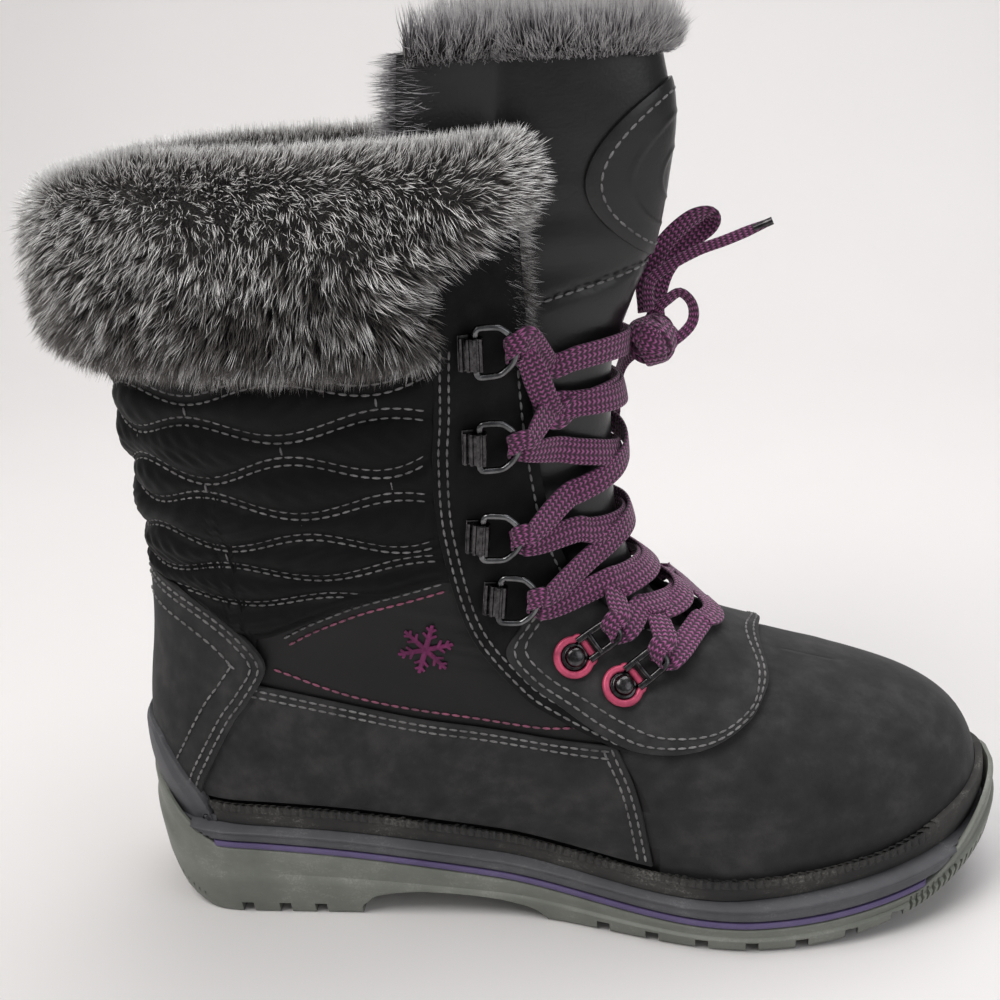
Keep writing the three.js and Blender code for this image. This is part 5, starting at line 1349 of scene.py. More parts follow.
class BOOT_OT_stays(BootOperator):
    """Eyestays along the throat and the U-shaped lace stay over the instep"""

    bl_idname = "boot.stays"
    bl_label = "Eyestays and lace stay"

    def make(self, sizes):
        outer, inner = stay_edges()
        at = ruled(outer, inner)
        for side, word in ((LATERAL, "lateral"), (MEDIAL, "medial")):
            rear = side_line(EYESTAY_REAR, 90)
            rear = np.stack(place_of(rear[:, 0], rear[:, 1], MEDIAL), -1)
            rear[0, 0] = 15.95
            rows = np.maximum(rear[:, 0], outer[0, 0] - 0.6)
            front = np.stack([rows, upper_angle(rows)], -1)
            tail = np.clip((rear[:, 0] - 6.2) / 3.4, 0, 1)[:, None]
            front = front * tail + (rear + (0, 0.12)) * (1 - tail)
            eye = ruled(rear, front)

            def eyestay(u, v, lift):
                t0, a0, t1, a1 = eye(v)
                t, theta = t0 + (t1 - t0) * u, a0 + (a1 - a0) * u
                return offset(t, side * theta, EYESTAY_LIFT + lift + 0.3 * creases(t, side * theta))

            obj = sheet(f"eyestay_{word}_fine", 20, 90, eyestay, 1.6, 0.5)
            own(obj, ["black_nubuck"], "nubuck", f"eyestay_{word}")

        def stay(u, v, lift):
            side = np.where(u < 0.5, LATERAL, MEDIAL)
            t0, a0, t1, a1 = at(1 - np.abs(2 * u - 1))
            return offset(t0 + (t1 - t0) * v, side * (a0 + (a1 - a0) * v), LAYER_HIGH + lift)

        obj = sheet("lace_stay_fine", 130, 16, stay, 1.5, 0.5)
        own(obj, ["charcoal_nubuck"], "nubuck", "lace_stay")


# Seams. Each: line, the distances of its rows from the line, how high they lie, thread.
SIDE_SEAMS = (
    (COUNTER_EDGE, (-1.8, -4.3, -10.5), LAYER_HIGH, "grey_thread"),
    (QUARTER_TOP, (-1.7, -4.1), LAYER_LOW, "grey_thread"),
    (((0.185, 0.27), *QUARTER_TOP[1:4], (0.53, 0.188)), (3.0,), 0, "rose_thread"),
    (VAMP_SEAM, (-1.7, -4.2), LAYER_LOW, "grey_thread"),
    (((0.2, 0.352), *QUILT_BOTTOM[2:]), (-3.2,), 0, "grey_thread"),
    (((0.2, 0.352), *QUILT_BOTTOM[2:]), (-6.0,), 0, "rose_thread"),
    (EYESTAY_REAR, (1.7, 4.1), EYESTAY_LIFT, "grey_thread"),
)


class BOOT_OT_seams(BootOperator):
    """Stitches of every seam, each one a small bead of thread"""

    bl_idname = "boot.seams"
    bl_label = "Seams"

    def make(self, sizes):
        self.pitch = sizes.stitch_pitch
        self.rows = {"grey_thread": [], "rose_thread": []}
        for side in (LATERAL, MEDIAL):
            for line, insets, lift, colour in SIDE_SEAMS:
                line = side_line(line, 160)
                for inset in insets:
                    self.side_seam(shifted(line, inset), side, lift, colour)
            self.stay_seams(side)
        self.quilt_seams()
        self.tongue_seams()
        bead = bead_template(6, 4)
        for colour, rows in self.rows.items():
            rows = np.vstack(rows)
            axes = rows[:, 3:].reshape(-1, 3, 3)
            obj = scatter(f"{colour}_stitches", bead, rows[:, :3], axes, (self.pitch * 0.86, 0.85, 0.8))
            own(smooth(obj, 60), [colour], "nubuck")

    def lay(self, points, out, colour):
        """Stitches along a line, an even pitch apart."""
        line = even(np.hstack([points, out]), self.pitch)
        middle = (line[1:] + line[:-1]) / 2
        along, out = unit(line[1:, :3] - line[:-1, :3]), unit(middle[:, 3:])
        wide = unit(np.cross(out, along))
        self.rows[colour].append(np.hstack([middle[:, :3] + out * 0.12, along, wide, np.cross(along, wide)]))

    def lay_on(self, t, theta, lift, colour="grey_thread"):
        """Stitches along a line of sections and angles, lift above the upper."""
        self.lay(offset(t, theta, np.full(t.shape, float(lift))), normal(t, theta), colour)

    def side_seam(self, line, side, lift, colour):
        t, theta = place_of(line[:, 0], line[:, 1], side)
        seen = (t > 1.02) & (t < 13.9) & (np.abs(theta) > 0.16)
        t, theta = t[seen], theta[seen]
        self.lay_on(t, theta, lift, colour)

    def stay_seams(self, side):
        outer, inner = stay_edges()
        gap = surface(inner[:, 0], side * inner[:, 1]) - surface(outer[:, 0], side * outer[:, 1])
        width = np.linalg.norm(gap, axis=1)[:, None]
        for start, end, inset, skip in (
            (outer, inner, 1.9, 2), (outer, inner, 4.6, 2), (inner, outer, 2.2, 14)
        ):
            t, theta = (start + (end - start) * inset / width)[skip:].T
            self.lay_on(t, side * theta, LAYER_HIGH)
        rows = np.linspace(10.1, 13.9, 60)
        theta = side * (upper_angle(rows) - 0.07)
        self.lay_on(rows, theta, EYESTAY_LIFT)

    def quilt_seams(self):
        rear = side_line(EYESTAY_REAR, 90)
        rear_t, rear_theta = place_of(rear[:, 0], rear[:, 1], MEDIAL)
        order = np.argsort(rear_t)
        for i in range(len(QUILT_ROWS)):
            for shift in (-0.066, 0.066):
                theta = np.linspace(-2.1, 2.1, 500)
                t = quilt_row(i, theta) + shift
                inside = np.abs(theta) < np.interp(t, rear_t[order], rear_theta[order]) - 0.03
                inside &= t > self.quilt_low(theta) + 0.12
                places = np.flatnonzero(inside)
                for run in np.split(places, np.flatnonzero(np.diff(places) > 1) + 1):
                    if len(run) > 6:
                        self.lay_on(t[run], theta[run], 1.35)
        for i in range(len(QUILT_ROWS) - 1):
            first = 0.985 if QUILT_ROWS[i][3] < 0 else 0.985 - WAVE_ANGLE / 2
            for turn in (0, 1, 2):
                for side in (LATERAL, MEDIAL):
                    angle = side * (first + turn * WAVE_ANGLE)
                    top, foot = quilt_row(i, angle) - 0.09, quilt_row(i + 1, angle) + 0.09
                    low = self.quilt_low(np.array([angle]))[0]
                    if abs(angle) < 1.95 and foot > low and top - foot > 0.08:
                        self.lay_on(np.linspace(foot, top, 6), np.full(6, angle), 1.9)

    def quilt_low(self, theta):
        """The section where the quilting ends, at each angle."""
        lower = np.vstack([side_line(COUNTER_EDGE)[:30], side_line(QUILT_BOTTOM)])
        lower = lower[(lower[:, 0] > 4) & (lower[:, 1] > 100)]
        t, angle = place_of(lower[:, 0], lower[:, 1], MEDIAL)
        order = np.argsort(angle)
        return np.interp(np.abs(theta), angle[order], t[order])

    def tongue_seams(self):
        ks = np.linspace(-0.72, 0.72, 80)
        rows = 14.55 - 0.75 * np.abs(ks) ** 1.5
        points = tongue_point(rows, ks, 0.0)
        out = unit(tongue_point(rows, ks, -1.0) - points)
        self.lay(points, out, "grey_thread")
        turn = np.linspace(0, 2 * math.pi, 90)
        rows, ks = PATCH_ROW + 1.26 * np.cos(turn), 0.42 * np.sin(turn)
        points = tongue_point(rows, ks, -1.5)
        out = unit(tongue_point(rows, ks, -2.5) - points)
        self.lay(points, out, "grey_thread")


EMBLEM_ARMS = 6
EMBLEM_TURN = 12
EMBLEM_PLACE = (106, 103)
SATIN_STEP = 0.42


class BOOT_OT_emblem(BootOperator):
    """Small embroidered snowflake in satin stitch on each side panel"""

    bl_idname = "boot.emblem"
    bl_label = "Embroidery"

    def make(self, sizes):
        origins, axes, lengths = [], [], []
        for side in (LATERAL, MEDIAL):
            for arm in range(EMBLEM_ARMS):
                turn = math.radians(360 / EMBLEM_ARMS * arm + EMBLEM_TURN)
                self.bar(side, (0, 0), turn, 9.6, 2.1, origins, axes, lengths)
                for reach, length in ((4.2, 3.2), (6.8, 2.4)):
                    foot = (reach * math.cos(turn), reach * math.sin(turn))
                    for lean in (-0.95, 0.95):
                        self.bar(side, foot, turn + lean, length, 1.3, origins, axes, lengths)
        sizes_of = np.stack([lengths, np.full(len(lengths), 0.5), np.full(len(lengths), 0.75)], -1)
        obj = scatter("emblem", bead_template(6, 4), origins, axes, sizes_of)
        own(smooth(obj, 60), ["plum_thread"], "plum_lace")

    def bar(self, side, foot, turn, length, width, origins, axes, lengths):
        """Satin stitches laid across a bar that runs from foot along turn."""
        for i in range(int(length / SATIN_STEP)):
            reach = i * SATIN_STEP
            x = EMBLEM_PLACE[0] + foot[0] + reach * math.cos(turn)
            z = EMBLEM_PLACE[1] + foot[1] + reach * math.sin(turn)
            t, theta = (float(v) for v in place_of(x, z, side))
            out = normal(t, theta)
            level = unit(surface(t, theta + side * 0.02) - surface(t, theta))
            rise = unit(np.cross(out, level) * -side)
            across = unit(-level * math.sin(turn + 0.35) + rise * math.cos(turn + 0.35))
            taper = 1 - 0.45 * (reach / length) ** 2
            origins.append(surface(t, theta) + out * 0.25)
            axes.append(np.stack([across, unit(np.cross(out, across)), out]))
            lengths.append(width * taper)


# Tongue

PATCH_ROW = 16.05
PATCH_HALF_ROWS = 1.42
PATCH_HALF_SPAN = 0.47


class BOOT_OT_tongue(BootOperator):
    """Padded leather tongue with its round patch"""

    bl_idname = "boot.tongue"
    bl_label = "Tongue"

    def make(self, sizes):
        def place(u, v, lift):
            t, k = 7.3 + (TONGUE_TOP - 7.3) * v, 2 * u - 1
            fold = 0.7 * np.sin(t * 2.6 + 1.4 * k) * np.exp(-((t - 13.6) / 1.6) ** 2) * np.cos(k * 1.4)
            fold += 0.35 * np.sin(t * 7 + 3 * k + 2 * np.sin(k * 4)) * np.exp(-((t - 14.2) / 1.1) ** 2)
            seam = -0.9 * np.exp(
                -(((t - 14.55 + 0.75 * np.abs(k) ** 1.5) / 0.045) ** 2)
            ) * (np.abs(k) < 0.74)
            return tongue_point(t, k, -(lift + fold + seam))

        obj = sheet("tongue_fine", 72, 140, place, 5.6, 1.2, inner=1)
        own(obj, ["tongue_leather", "fleece_lining"], "smooth_leather", "tongue")

        def patch(u, v, lift):
            turn = 2 * math.pi * u
            rim = 0.25 * ease((v - 0.93) / 0.07)
            ring = 0.3 * np.exp(-(((v - 0.66) / 0.025) ** 2)) + 0.3 * np.exp(-(((v - 0.3) / 0.03) ** 2))
            t = PATCH_ROW + PATCH_HALF_ROWS * v * np.cos(turn)
            k = PATCH_HALF_SPAN * v * np.sin(turn)
            return tongue_point(t, k, -(1.5 + lift + ring - rim))

        obj = sheet("tongue_patch_fine", 72, 40, patch, 1.4, 0.4)
        own(obj, ["tongue_leather"], "smooth_leather", "tongue_patch")


# Fur

CUFF_FACE = (
    (14.12, 0.8), (13.96, 3.5), (13.98, 7.5), (14.2, 11.2), (14.6, 13), (15.2, 13), (15.7, 11.2),
    (16.04, 7.4),
    (16.2, 2.5), (16.2, -2.5), (16.0, -5.8), (15.5, -6.6),
)
# Angle where the cuff ends, how much further its roll reaches from the section where that starts, and how
# far the roll stands up on the outer side and, as a share of that, on the inner side.
CUFF_END = 2.02
CUFF_REACH = 0.5
REACH_ROW = 14.9
REACH_ROWS = 0.9
CUFF_RISE = 9.5
INNER_RISE = 0.3
# Share of the cuff's grid that is its outer face. The rest closes it against the collar.
CUFF_OUTSIDE = 0.8


def cuff_end(row):
    """How far round from the back the cuff goes at that section. Its roll reaches further than its fold."""
    return CUFF_END + CUFF_REACH * ease((row - REACH_ROW) / REACH_ROWS)


def cuff_point(u, v, lift=0.0):
    """A point of the cuff's skin: u round the collar, v from its lower edge over the top to the inside."""
    rows = spline(CUFF_FACE, 61)
    at = np.clip(v, 0, 1) * 60
    row, off = (np.interp(at, np.arange(61), column) for column in rows.T)
    end = cuff_end(row)
    theta = (2 * u - 1) * end
    full = np.sqrt(np.maximum(0, 1 - np.clip(1 - (end + 0.03 - np.abs(theta)) / 0.16, 0, 1) ** 2))
    off = np.where(off > 0, off * (0.35 + 0.65 * full), np.maximum(off, -6))
    lump = 1.1 * np.sin(theta * 9 + 4 * np.sin(v * 6)) * np.sin(v * 9 + theta * 3) * np.sin(math.pi * v)
    points = offset(row, theta, off + lump * full + lift)
    rise = CUFF_RISE * np.where(theta < 0, 1, INNER_RISE)
    points[..., 2] += rise * ease((row - 15) / 1.1) * ease((np.abs(theta) - 0.15) / 1.0)
    return points


def outward(skin, u, v, look, judged):
    """A skin's outward directions at u and v. Where judged is true, they look the way that look does."""
    step = 0.006
    across = skin(np.minimum(u + step, 1), v) - skin(np.maximum(u - step, 0), v)
    along = skin(u, np.minimum(v + step, 1)) - skin(u, np.maximum(v - step, 0))
    out = unit(np.cross(across, along))
    return out * np.sign(np.median(np.sum(out * look, -1)[judged]))


def locks(name, roots, out, lie, lengths, width, rng, clump, pull=0.35, curl=0.5):
    """Tapered hairs gathered into tufts. out is the skin's own direction, lie where the tips lean."""
    count = len(roots)
    start = unit(out + rng.normal(0, 0.2, (count, 3)))
    lean = unit(lie + rng.normal(0, 0.2, (count, 3)))
    line = np.stack([roots, roots + (start * 0.62 + lean * 0.38) * lengths[:, None] * 0.5, roots], 1)
    line[:, 2] = line[:, 1] + (start * 0.2 + lean * 0.8) * lengths[:, None] * 0.5
    line[:, 1:] += rng.normal(0, 1, (count, 2, 3)) * curl * np.array([0.5, 1])[None, :, None]
    leaders = rng.choice(count, max(2, int(count / clump)), replace=False)
    tree = KDTree(len(leaders))
    for i, leader in enumerate(leaders):
        tree.insert(Vector(roots[leader]), i)
    tree.balance()
    chief = leaders[[tree.find(Vector(root))[1] for root in roots]]
    share = np.array([0, 0.35, 1])[None, :, None] * pull * rng.uniform(0.3, 1.6, (count, 1, 1))
    line = line * (1 - share) + (line[chief] + (roots - roots[chief])[:, None] * 0.4) * share
    side = unit(np.cross(start + lean, rng.normal(0, 1, (count, 3)) + out))
    half = side[:, None] * (width / 2 * np.array([1, 0.85]))[None, :, None]
    pairs = np.stack([line[:, :2] - half, line[:, :2] + half], 2).reshape(count, 4, 3)
    points = np.concatenate([pairs, line[:, 2:]], 1)
    faces = np.array([0, 1, 3, 2, 2, 3, 4])
    starts = np.array([0, 4])
    shift = np.arange(count)[:, None]
    colours = np.ones((count, 5, 4))
    colours[..., 0] = np.array([0, 0, 0.5, 0.5, 1])
    colours[..., 1] = rng.uniform(0, 1, count)[chief][:, None]
    colours[..., 2] = rng.uniform(0, 1, count)[:, None]
    return mesh_of(
        name,
        points.reshape(-1, 3),
        (faces[None] + shift * 5).ravel(),
        (starts[None] + shift * len(faces)).ravel(),
        colours.reshape(-1, 4),
    )


class BOOT_OT_cuff(BootOperator):
    """Fur cuff folded over the collar: a soft skin and two halves of hair"""

    bl_idname = "boot.cuff"
    bl_label = "Fur cuff"

    def make(self, sizes):
        def skin(u, v):
            outer = cuff_point(u, np.minimum(v / CUFF_OUTSIDE, 1))
            k = np.clip((v - CUFF_OUTSIDE) / (1 - CUFF_OUTSIDE), 0, 1)
            row = CUFF_FACE[-1][0] + (CUFF_FACE[0][0] - CUFF_FACE[-1][0]) * k
            inner = offset(row, (2 * u - 1) * cuff_end(row), 6.8 * k - 6)
            return np.where(v[:, None] <= CUFF_OUTSIDE, outer, inner)

        body = grid("fur_cuff_fine", 160, 50, skin)
        edit(body, WELD, CAP, OUTWARDS)
        own(smooth(body, 70), ["fur_skin"], "fur", "fur_cuff")
        for half, word in ((0, "lateral"), (1, "medial")):
            rng = np.random.default_rng(41 + half)
            count = sizes.cuff_hairs
            u = rng.uniform(0.5 * half, 0.5 * half + 0.5, count)
            v = rng.uniform(0, 1, count)
            roots = cuff_point(u, v)
            out = outward(cuff_point, u, v, roots - (74, 0, 215), v < 0.5)
            theta = (2 * u - 1) * CUFF_END
            tangent = unit(cuff_point(np.minimum(u + 0.004, 1), v) - cuff_point(np.maximum(u - 0.004, 0), v))
            ahead = tangent * (np.sign(theta) * ease(np.abs(theta) / 0.7))[:, None]
            swirl = 0.35 * np.sin(theta * 5 + v * 9 + 2 * np.sin(theta * 3))
            forward = np.interp(v, (0, 0.22, 0.38, 0.6, 0.8), (-0.5, -0.45, 0.35, 0.45, 0.1)) + swirl
            forward += 1.3 * ease((np.abs(theta) - 1.8) / 0.26)
            rise = np.interp(
                v, (0, 0.25, 0.45, 0.6, 0.75, 1), (-0.8, -0.75, -0.6, -0.2, 0.5, 0.3)
            ) - 0.3 * swirl
            lie = unit(ahead * forward[:, None] + np.stack([0 * u, 0 * u, rise], -1) + out * 0.6)
            lengths = sizes.hair_length * rng.uniform(0.55, 1, count) * np.interp(
                v, (0, 0.3, 0.6, 0.8), (0.8, 1, 0.8, 0.5)
            )
            hair_piece = locks(f"cuff_hair_{word}", roots, out, lie, lengths, 0.26, rng, 14)
            own(hair_piece, ["cuff_hair"], "fur")


TONGUE_FUR = (
    (0.3, 3), (1.4, 0.8), (1.2, -2), (-1, -3.6), (-4, -3.8), (-7, -2), (-8.4, 3), (-8.6, 14), (-8.5, 28)
)
FUR_SPAN = 0.99
SIDE_HAIRS = 7000
EDGE_HAIRS = 9000
HAIR_WIDTH = 0.22


def tongue_fur_point(u, v, lift=0.0):
    """A point of the fur skin over the tongue's top edge and down its back."""
    rows = spline(TONGUE_FUR, 61)
    at = np.clip(v, 0, 1) * 60
    out, down = (np.interp(at, np.arange(61), column) for column in rows.T)
    k = FUR_SPAN * (2 * u - 1)
    row_length = tongue_point(18.0, 0.0)[2] - tongue_point(17.0, 0.0)[2]
    t = np.minimum(TONGUE_TOP, TONGUE_TOP - down / row_length)
    points = tongue_point(t, k, -(out + np.where(out > -4, lift, -lift)))
    points[:, 2] += np.where(down < 0, -down + lift, 0)
    return points


class BOOT_OT_tongue_fur(BootOperator):
    """Fur over the tongue's top edge, and the pile that shows between tongue and shaft"""

    bl_idname = "boot.tongue_fur"
    bl_label = "Tongue fur"

    def make(self, sizes):
        body = sheet("tongue_fur_fine", 70, 30, lambda u, v, lift: tongue_fur_point(u, v, lift), 1.2, 0)
        own(body, ["fur_skin"], "fur", "tongue_fur")
        rng = np.random.default_rng(7)
        count = sizes.tongue_hairs
        u, v = rng.uniform(0, 1, count), rng.uniform(0, 1, count) ** 1.1
        roots = tongue_fur_point(u, v)
        out = outward(tongue_fur_point, u, v, np.array([1, 0, 0]), v < 0.25)
        lie = unit(np.stack([-0.15 + 0 * u, 0.15 * (2 * u - 1), 0.8 + 0 * u], -1) + out * 0.55)
        lengths = rng.uniform(7, 13.5, count) * np.interp(v, (0, 0.1, 0.3, 0.6, 1), (0.6, 0.9, 1, 0.85, 0.6))
        own(locks("tongue_hair", roots, out, lie, lengths, 0.25, rng, 12), ["tongue_hair"], "fur")
        self.side_pile(rng)
        self.collar_pile(rng)

    def side_pile(self, rng):
        """Pile that stands out from behind the tongue's side edges."""
        count = SIDE_HAIRS
        side = np.where(rng.uniform(0, 1, count) < 0.5, LATERAL, MEDIAL)
        t, k = rng.uniform(16.4, 18, count), side * rng.uniform(0.93, 1, count)
        roots = tongue_point(t, k, rng.uniform(-0.2, 5.5, count))
        out = unit(tongue_point(t, side * 1.0) - tongue_point(t, side * 0.9))
        lie = unit(out + np.stack([-0.6 + 0 * t, 0 * t, 0.15 + 0 * t], -1))
        own(
            locks("tongue_side_hair", roots, out, lie, rng.uniform(5, 10, count), HAIR_WIDTH, rng, 12),
            ["tongue_hair"], "fur",
        )

    def collar_pile(self, rng):
        """Fur over the eyestays' upper ends, and along the throat's edge inside the collar."""
        count = EDGE_HAIRS
        side = np.where(rng.uniform(0, 1, count) < 0.5, LATERAL, MEDIAL)
        t = 15.45 + 0.75 * rng.uniform(0, 1, count)
        theta = side * (2.0 + (upper_angle(t) - 2.0) * rng.uniform(0, 1, count))
        over = t > 16
        roots = offset(np.minimum(t, 16.0), theta, np.where(over, rng.uniform(-4, 3, count), 2.6))
        roots[:, 2] += np.where(over, rng.uniform(0, 2, count), 0)
        out = unit(normal(t, theta) * np.where(over, 0.3, 1)[:, None] + (0, 0, 0.35))
        lie = unit(out * 0.7 + np.stack([0.9 + 0 * t, 0 * t, rng.uniform(-0.5, 0.4, count)], -1))
        own(
            locks("collar_hair", roots, out, lie, rng.uniform(6, 12, count), HAIR_WIDTH, rng, 12),
            ["cuff_hair"],
            "fur",
        )
        t = rng.uniform(13.5, 16.1, count)
        theta = side * (upper_angle(t) - rng.uniform(0.0, 0.3, count) ** 1.5)
        roots = offset(t, theta, rng.uniform(-5, -1.5, count))
        out = unit(-normal(t, theta) * 0.3 + (1, 0, 0))
        lie = unit(np.stack([0.7 + 0 * t, 0.45 * side, rng.uniform(-0.9, 0.1, count)], -1))
        own(
            locks("lining_hair", roots, out, lie, rng.uniform(6, 11, count), HAIR_WIDTH, rng, 12),
            ["cuff_hair"],
            "fur",
        )


# Lacing hardware

CLIPS = ((0.432, 0.794), (0.43, 0.655), (0.428, 0.515), (0.442, 0.41))
LOOPS = ((0.519, 0.3), (0.571, 0.251))
LOOP_TURN = 0.6
WIRE = 2.6
RING_HEIGHT = 14
RING_REACH = 11.5
RING_LIFT = 2.7
# How much the rings lean out, per millimetre ahead.
RING_LEAN = 0.16
LOOP_REACH = 15.5


class Seat:
    """A place on the upper with its own axes: ahead to the throat, rise, and out."""

    def __init__(self, place, side, off, turn=0.0):
        x, z = place[0] * BOOT_LENGTH, SEAT_HEIGHT + place[1] * RISE
        t, theta = (float(v) for v in place_of(x, z, side))
        self.out = normal(t, theta)
        level = unit(surface(t, theta + side * 0.02) - surface(t, theta))
        spin = Matrix.Rotation(-side * turn, 3, Vector(self.out))
        self.ahead = np.array(spin @ Vector(level))
        self.rise = unit(np.cross(self.out, self.ahead) * -side)
        self.origin = surface(t, theta) + self.out * off
        self.side = side

    def points(self, rows):
        """Points from rows of ahead, rise and out."""
        rows = np.asarray(rows, float)
        return self.origin + rows @ np.stack([self.ahead, self.rise, self.out])


def clip_seat(i, side):
    return Seat(CLIPS[i], side, 2.82)


def loop_seat(i, side):
    return Seat(LOOPS[i], side, 2.9, LOOP_TURN)


class BOOT_OT_rings(BootOperator):
    """Round-wire D rings in their folded clips"""

    bl_idname = "boot.rings"
    bl_label = "D rings and clips"

    def make(self, sizes):
        half = RING_HEIGHT / 2
        line = [
            (0, -half + 1.4), (0, -1.6), (0, 1.6), (0, half - 1.4), (0.35, half - 0.25), (1.5, half + 0.35)
        ]
        for turn in np.linspace(1.15, -1.15, 9):
            line.append(
                (2.6 + (RING_REACH - 2.6) * math.cos(turn), (half + 0.45) * math.sin(turn) / math.sin(1.25))
            )
        line += [(1.5, -half - 0.35), (0.35, -half + 0.25)]
        line = spline([(a, u, RING_LIFT + RING_LEAN * a) for a, u in line], 90, closed=True)
        for side, word in ((LATERAL, "lateral"), (MEDIAL, "medial")):
            for i in range(len(CLIPS)):
                seat = clip_seat(i, side)
                path = seat.points(line)
                ring = tube(
                    f"d_ring_{word}_{i + 1}_fine", path, np.tile(seat.out, (90, 1)), WIRE * 0.82,
                    WIRE * 0.82, 12,
                    closed=True,
                )
                own(ring, ["gunmetal"], "gunmetal", f"d_ring_{word}_{i + 1}")
                own(
                    self.clip(seat, f"{word}_{i + 1}"), ["dark_metal"], "gunmetal",
                    f"ring_clip_{word}_{i + 1}",
                )

    def clip(self, seat, word):
        plate = [(-4.8, 0.7), (-4.4, 0.9), (-2.6, 0.95), (-1.0, 1.0), (1.6, 1.0)]
        arc = [(-4.7, 1.9), (-3.7, 2.1), (-2.5, RING_LIFT + 0.9)]
        for turn in np.linspace(2.5, -1.2, 9):
            arc.append((2.3 * math.cos(turn), RING_LIFT + 2.3 * math.sin(turn)))
        parts = [
            self.strap(seat, plate, -5.4, 5.4, 0.9, f"plate_{word}"),
            self.strap(seat, arc, -4.9, 4.9, 0.8, f"fold_{word}"),
        ]
        for ahead, out in ((-4.2, 2.3), (-2.6, 3.6), (-1.0, RING_LIFT + 2.3), (0.8, RING_LIFT + 2.3)):
            bead = seat.points([(ahead, rise, out) for rise in np.linspace(-4.9, 4.9, 9)])
            parts.append(tube(f"bead_{word}", bead, np.tile(seat.out, (9, 1)), 1.15, 1.0, 8))
        return join(f"ring_clip_{word}_fine", parts)

    def strap(self, seat, rows, low, high, thickness, name):
        """A folded strip of sheet metal: rows of ahead and out, and its reach along the rise."""
        line = spline(rows, 25)

        def place(u, v, lift):
            i = v * 24
            a, o = (np.interp(i, np.arange(25), column) for column in line.T)
            da, do = (np.interp(i, np.arange(25), np.gradient(column)) for column in line.T)
            length = np.hypot(da, do)
            rise = low + (high - low) * u
            return seat.points(np.stack([a - do / length * lift, rise, o + da / length * lift], -1))

        return sheet(name, 4, 24, place, thickness, 0.28)


class BOOT_OT_loops(BootOperator):
    """Lace loops with their enamelled rims and domed rivets"""

    bl_idname = "boot.loops"
    bl_label = "Lace loops"

    def make(self, sizes):
        for side, word in ((LATERAL, "lateral"), (MEDIAL, "medial")):
            for i in range(len(LOOPS)):
                seat = loop_seat(i, side)
                name = f"{word}_{i + 1}"
                own(self.loop(seat, name), ["dark_metal"], "gunmetal", f"lace_loop_{name}")
                own(self.rim(seat, name), ["rose_enamel"], "rose_enamel", f"loop_rim_{name}")
                own(self.rivet(seat, name), ["dark_metal"], "gunmetal", f"rivet_{name}")

    def loop(self, seat, name):
        rows = [
            (3.2, -3.6, 1.9), (6.4, -3.6, 2.3), (9.6, -3.6, 3.0), (13.2, -3.4, 3.8), (14.9, -2.6, 4.1),
            (15.4, 0, 4.2), (14.9, 2.6, 4.1), (13.2, 3.4, 3.8), (9.6, 3.6, 3.0), (6.4, 3.6, 2.3),
            (3.2, 3.6, 1.9),
        ]
        path = seat.points(spline(rows, 70))
        frame_part = tube(f"loop_{name}", path, np.tile(seat.out, (70, 1)), 2.3, 1.9, 10, power=3)
        cross = [(7.4, -3.4, 3.2), (7.2, 0, 3.7), (7.4, 3.4, 3.2)]
        cross = seat.points(spline(cross, 14))
        bar = tube(f"cross_{name}", cross, np.tile(seat.out, (14, 1)), 1.7, 1.3, 10)
        return join(f"lace_loop_{name}_fine", [frame_part, bar])

    def rim(self, seat, name):
        rows = []
        for turn in np.linspace(0.95, 2 * math.pi - 0.95, 15):
            rows.append((5.5 * math.cos(turn) - 0.3, 5.6 * math.sin(turn), 1.1))
        rows += [(4.1, -4.5, 1.1), (4.9, -3.2, 1.1), (5.0, 0, 1.1), (4.9, 3.2, 1.1), (4.1, 4.5, 1.1)]
        path = seat.points(spline(rows, 80, closed=True))
        ring = tube(f"rim_{name}", path, np.tile(seat.out, (80, 1)), 2.3, 2.2, 12, closed=True, power=2.6)
        return ring

    def rivet(self, seat, name):
        profile = spline(
            [(0, 0), (4.4, 0), (4.6, 0.5), (4.2, 1.0), (3.4, 1.15), (3.15, 1.5), (3.1, 2.2), (2.6, 2.9),
            (1.5, 3.35),
             (0, 3.5)], 28,
        )

        def place(u, v):
            i = v * 27
            radius, out = (np.interp(i, np.arange(28), column) for column in profile.T)
            turn = 2 * math.pi * u
            return seat.points(np.stack([radius * np.cos(turn), radius * np.sin(turn), out], -1))

        return smooth(closed_grid(f"rivet_{name}_fine", 28, 27, place), 60)


# Lace

LACE_ROWS = (13.12, 12.6, 11.35, 10.2, 9.3, 8.45)
LACE_THICKNESS = 1.7
LACE_SIDE_STEP = 0.29
LACE_SLIDE = 2.9
LACE_LIFT = 3
BAND_SIDES = 20
SELVEDGE = 0.25
BAND_POWER = 2.6
STRAND_REACH = 0.6


def lace_hold(station, side, slide, under):
    """Rows of point and outward direction where the lace goes over its metal and down through it."""
    if station < len(CLIPS):
        seat, reach = clip_seat(station, side), RING_REACH
        centre = RING_LIFT + RING_LEAN * RING_REACH
    else:
        seat, reach = loop_seat(station - len(CLIPS), side), LOOP_REACH - 0.5
        centre = 4.2
    way = -1 if under else 1
    rows = [
        (reach + 3.8, slide, centre + 1.2 * way), (reach + 0.9, slide * 0.9, centre + 2.0 * way),
        (reach - 1.7, slide * 0.5, centre + 1.4 * way), (reach - 2.5, 0, centre - 0.5),
    ]
    lean = np.array([(0.1 * way, 0, 1), (-0.1 * way, 0, 1), (-0.8 * way, 0, 0.8), (-way, 0, 0.05)])
    axes = np.stack([seat.ahead, seat.rise, seat.out])
    return seat.points(rows), unit(lean @ axes)


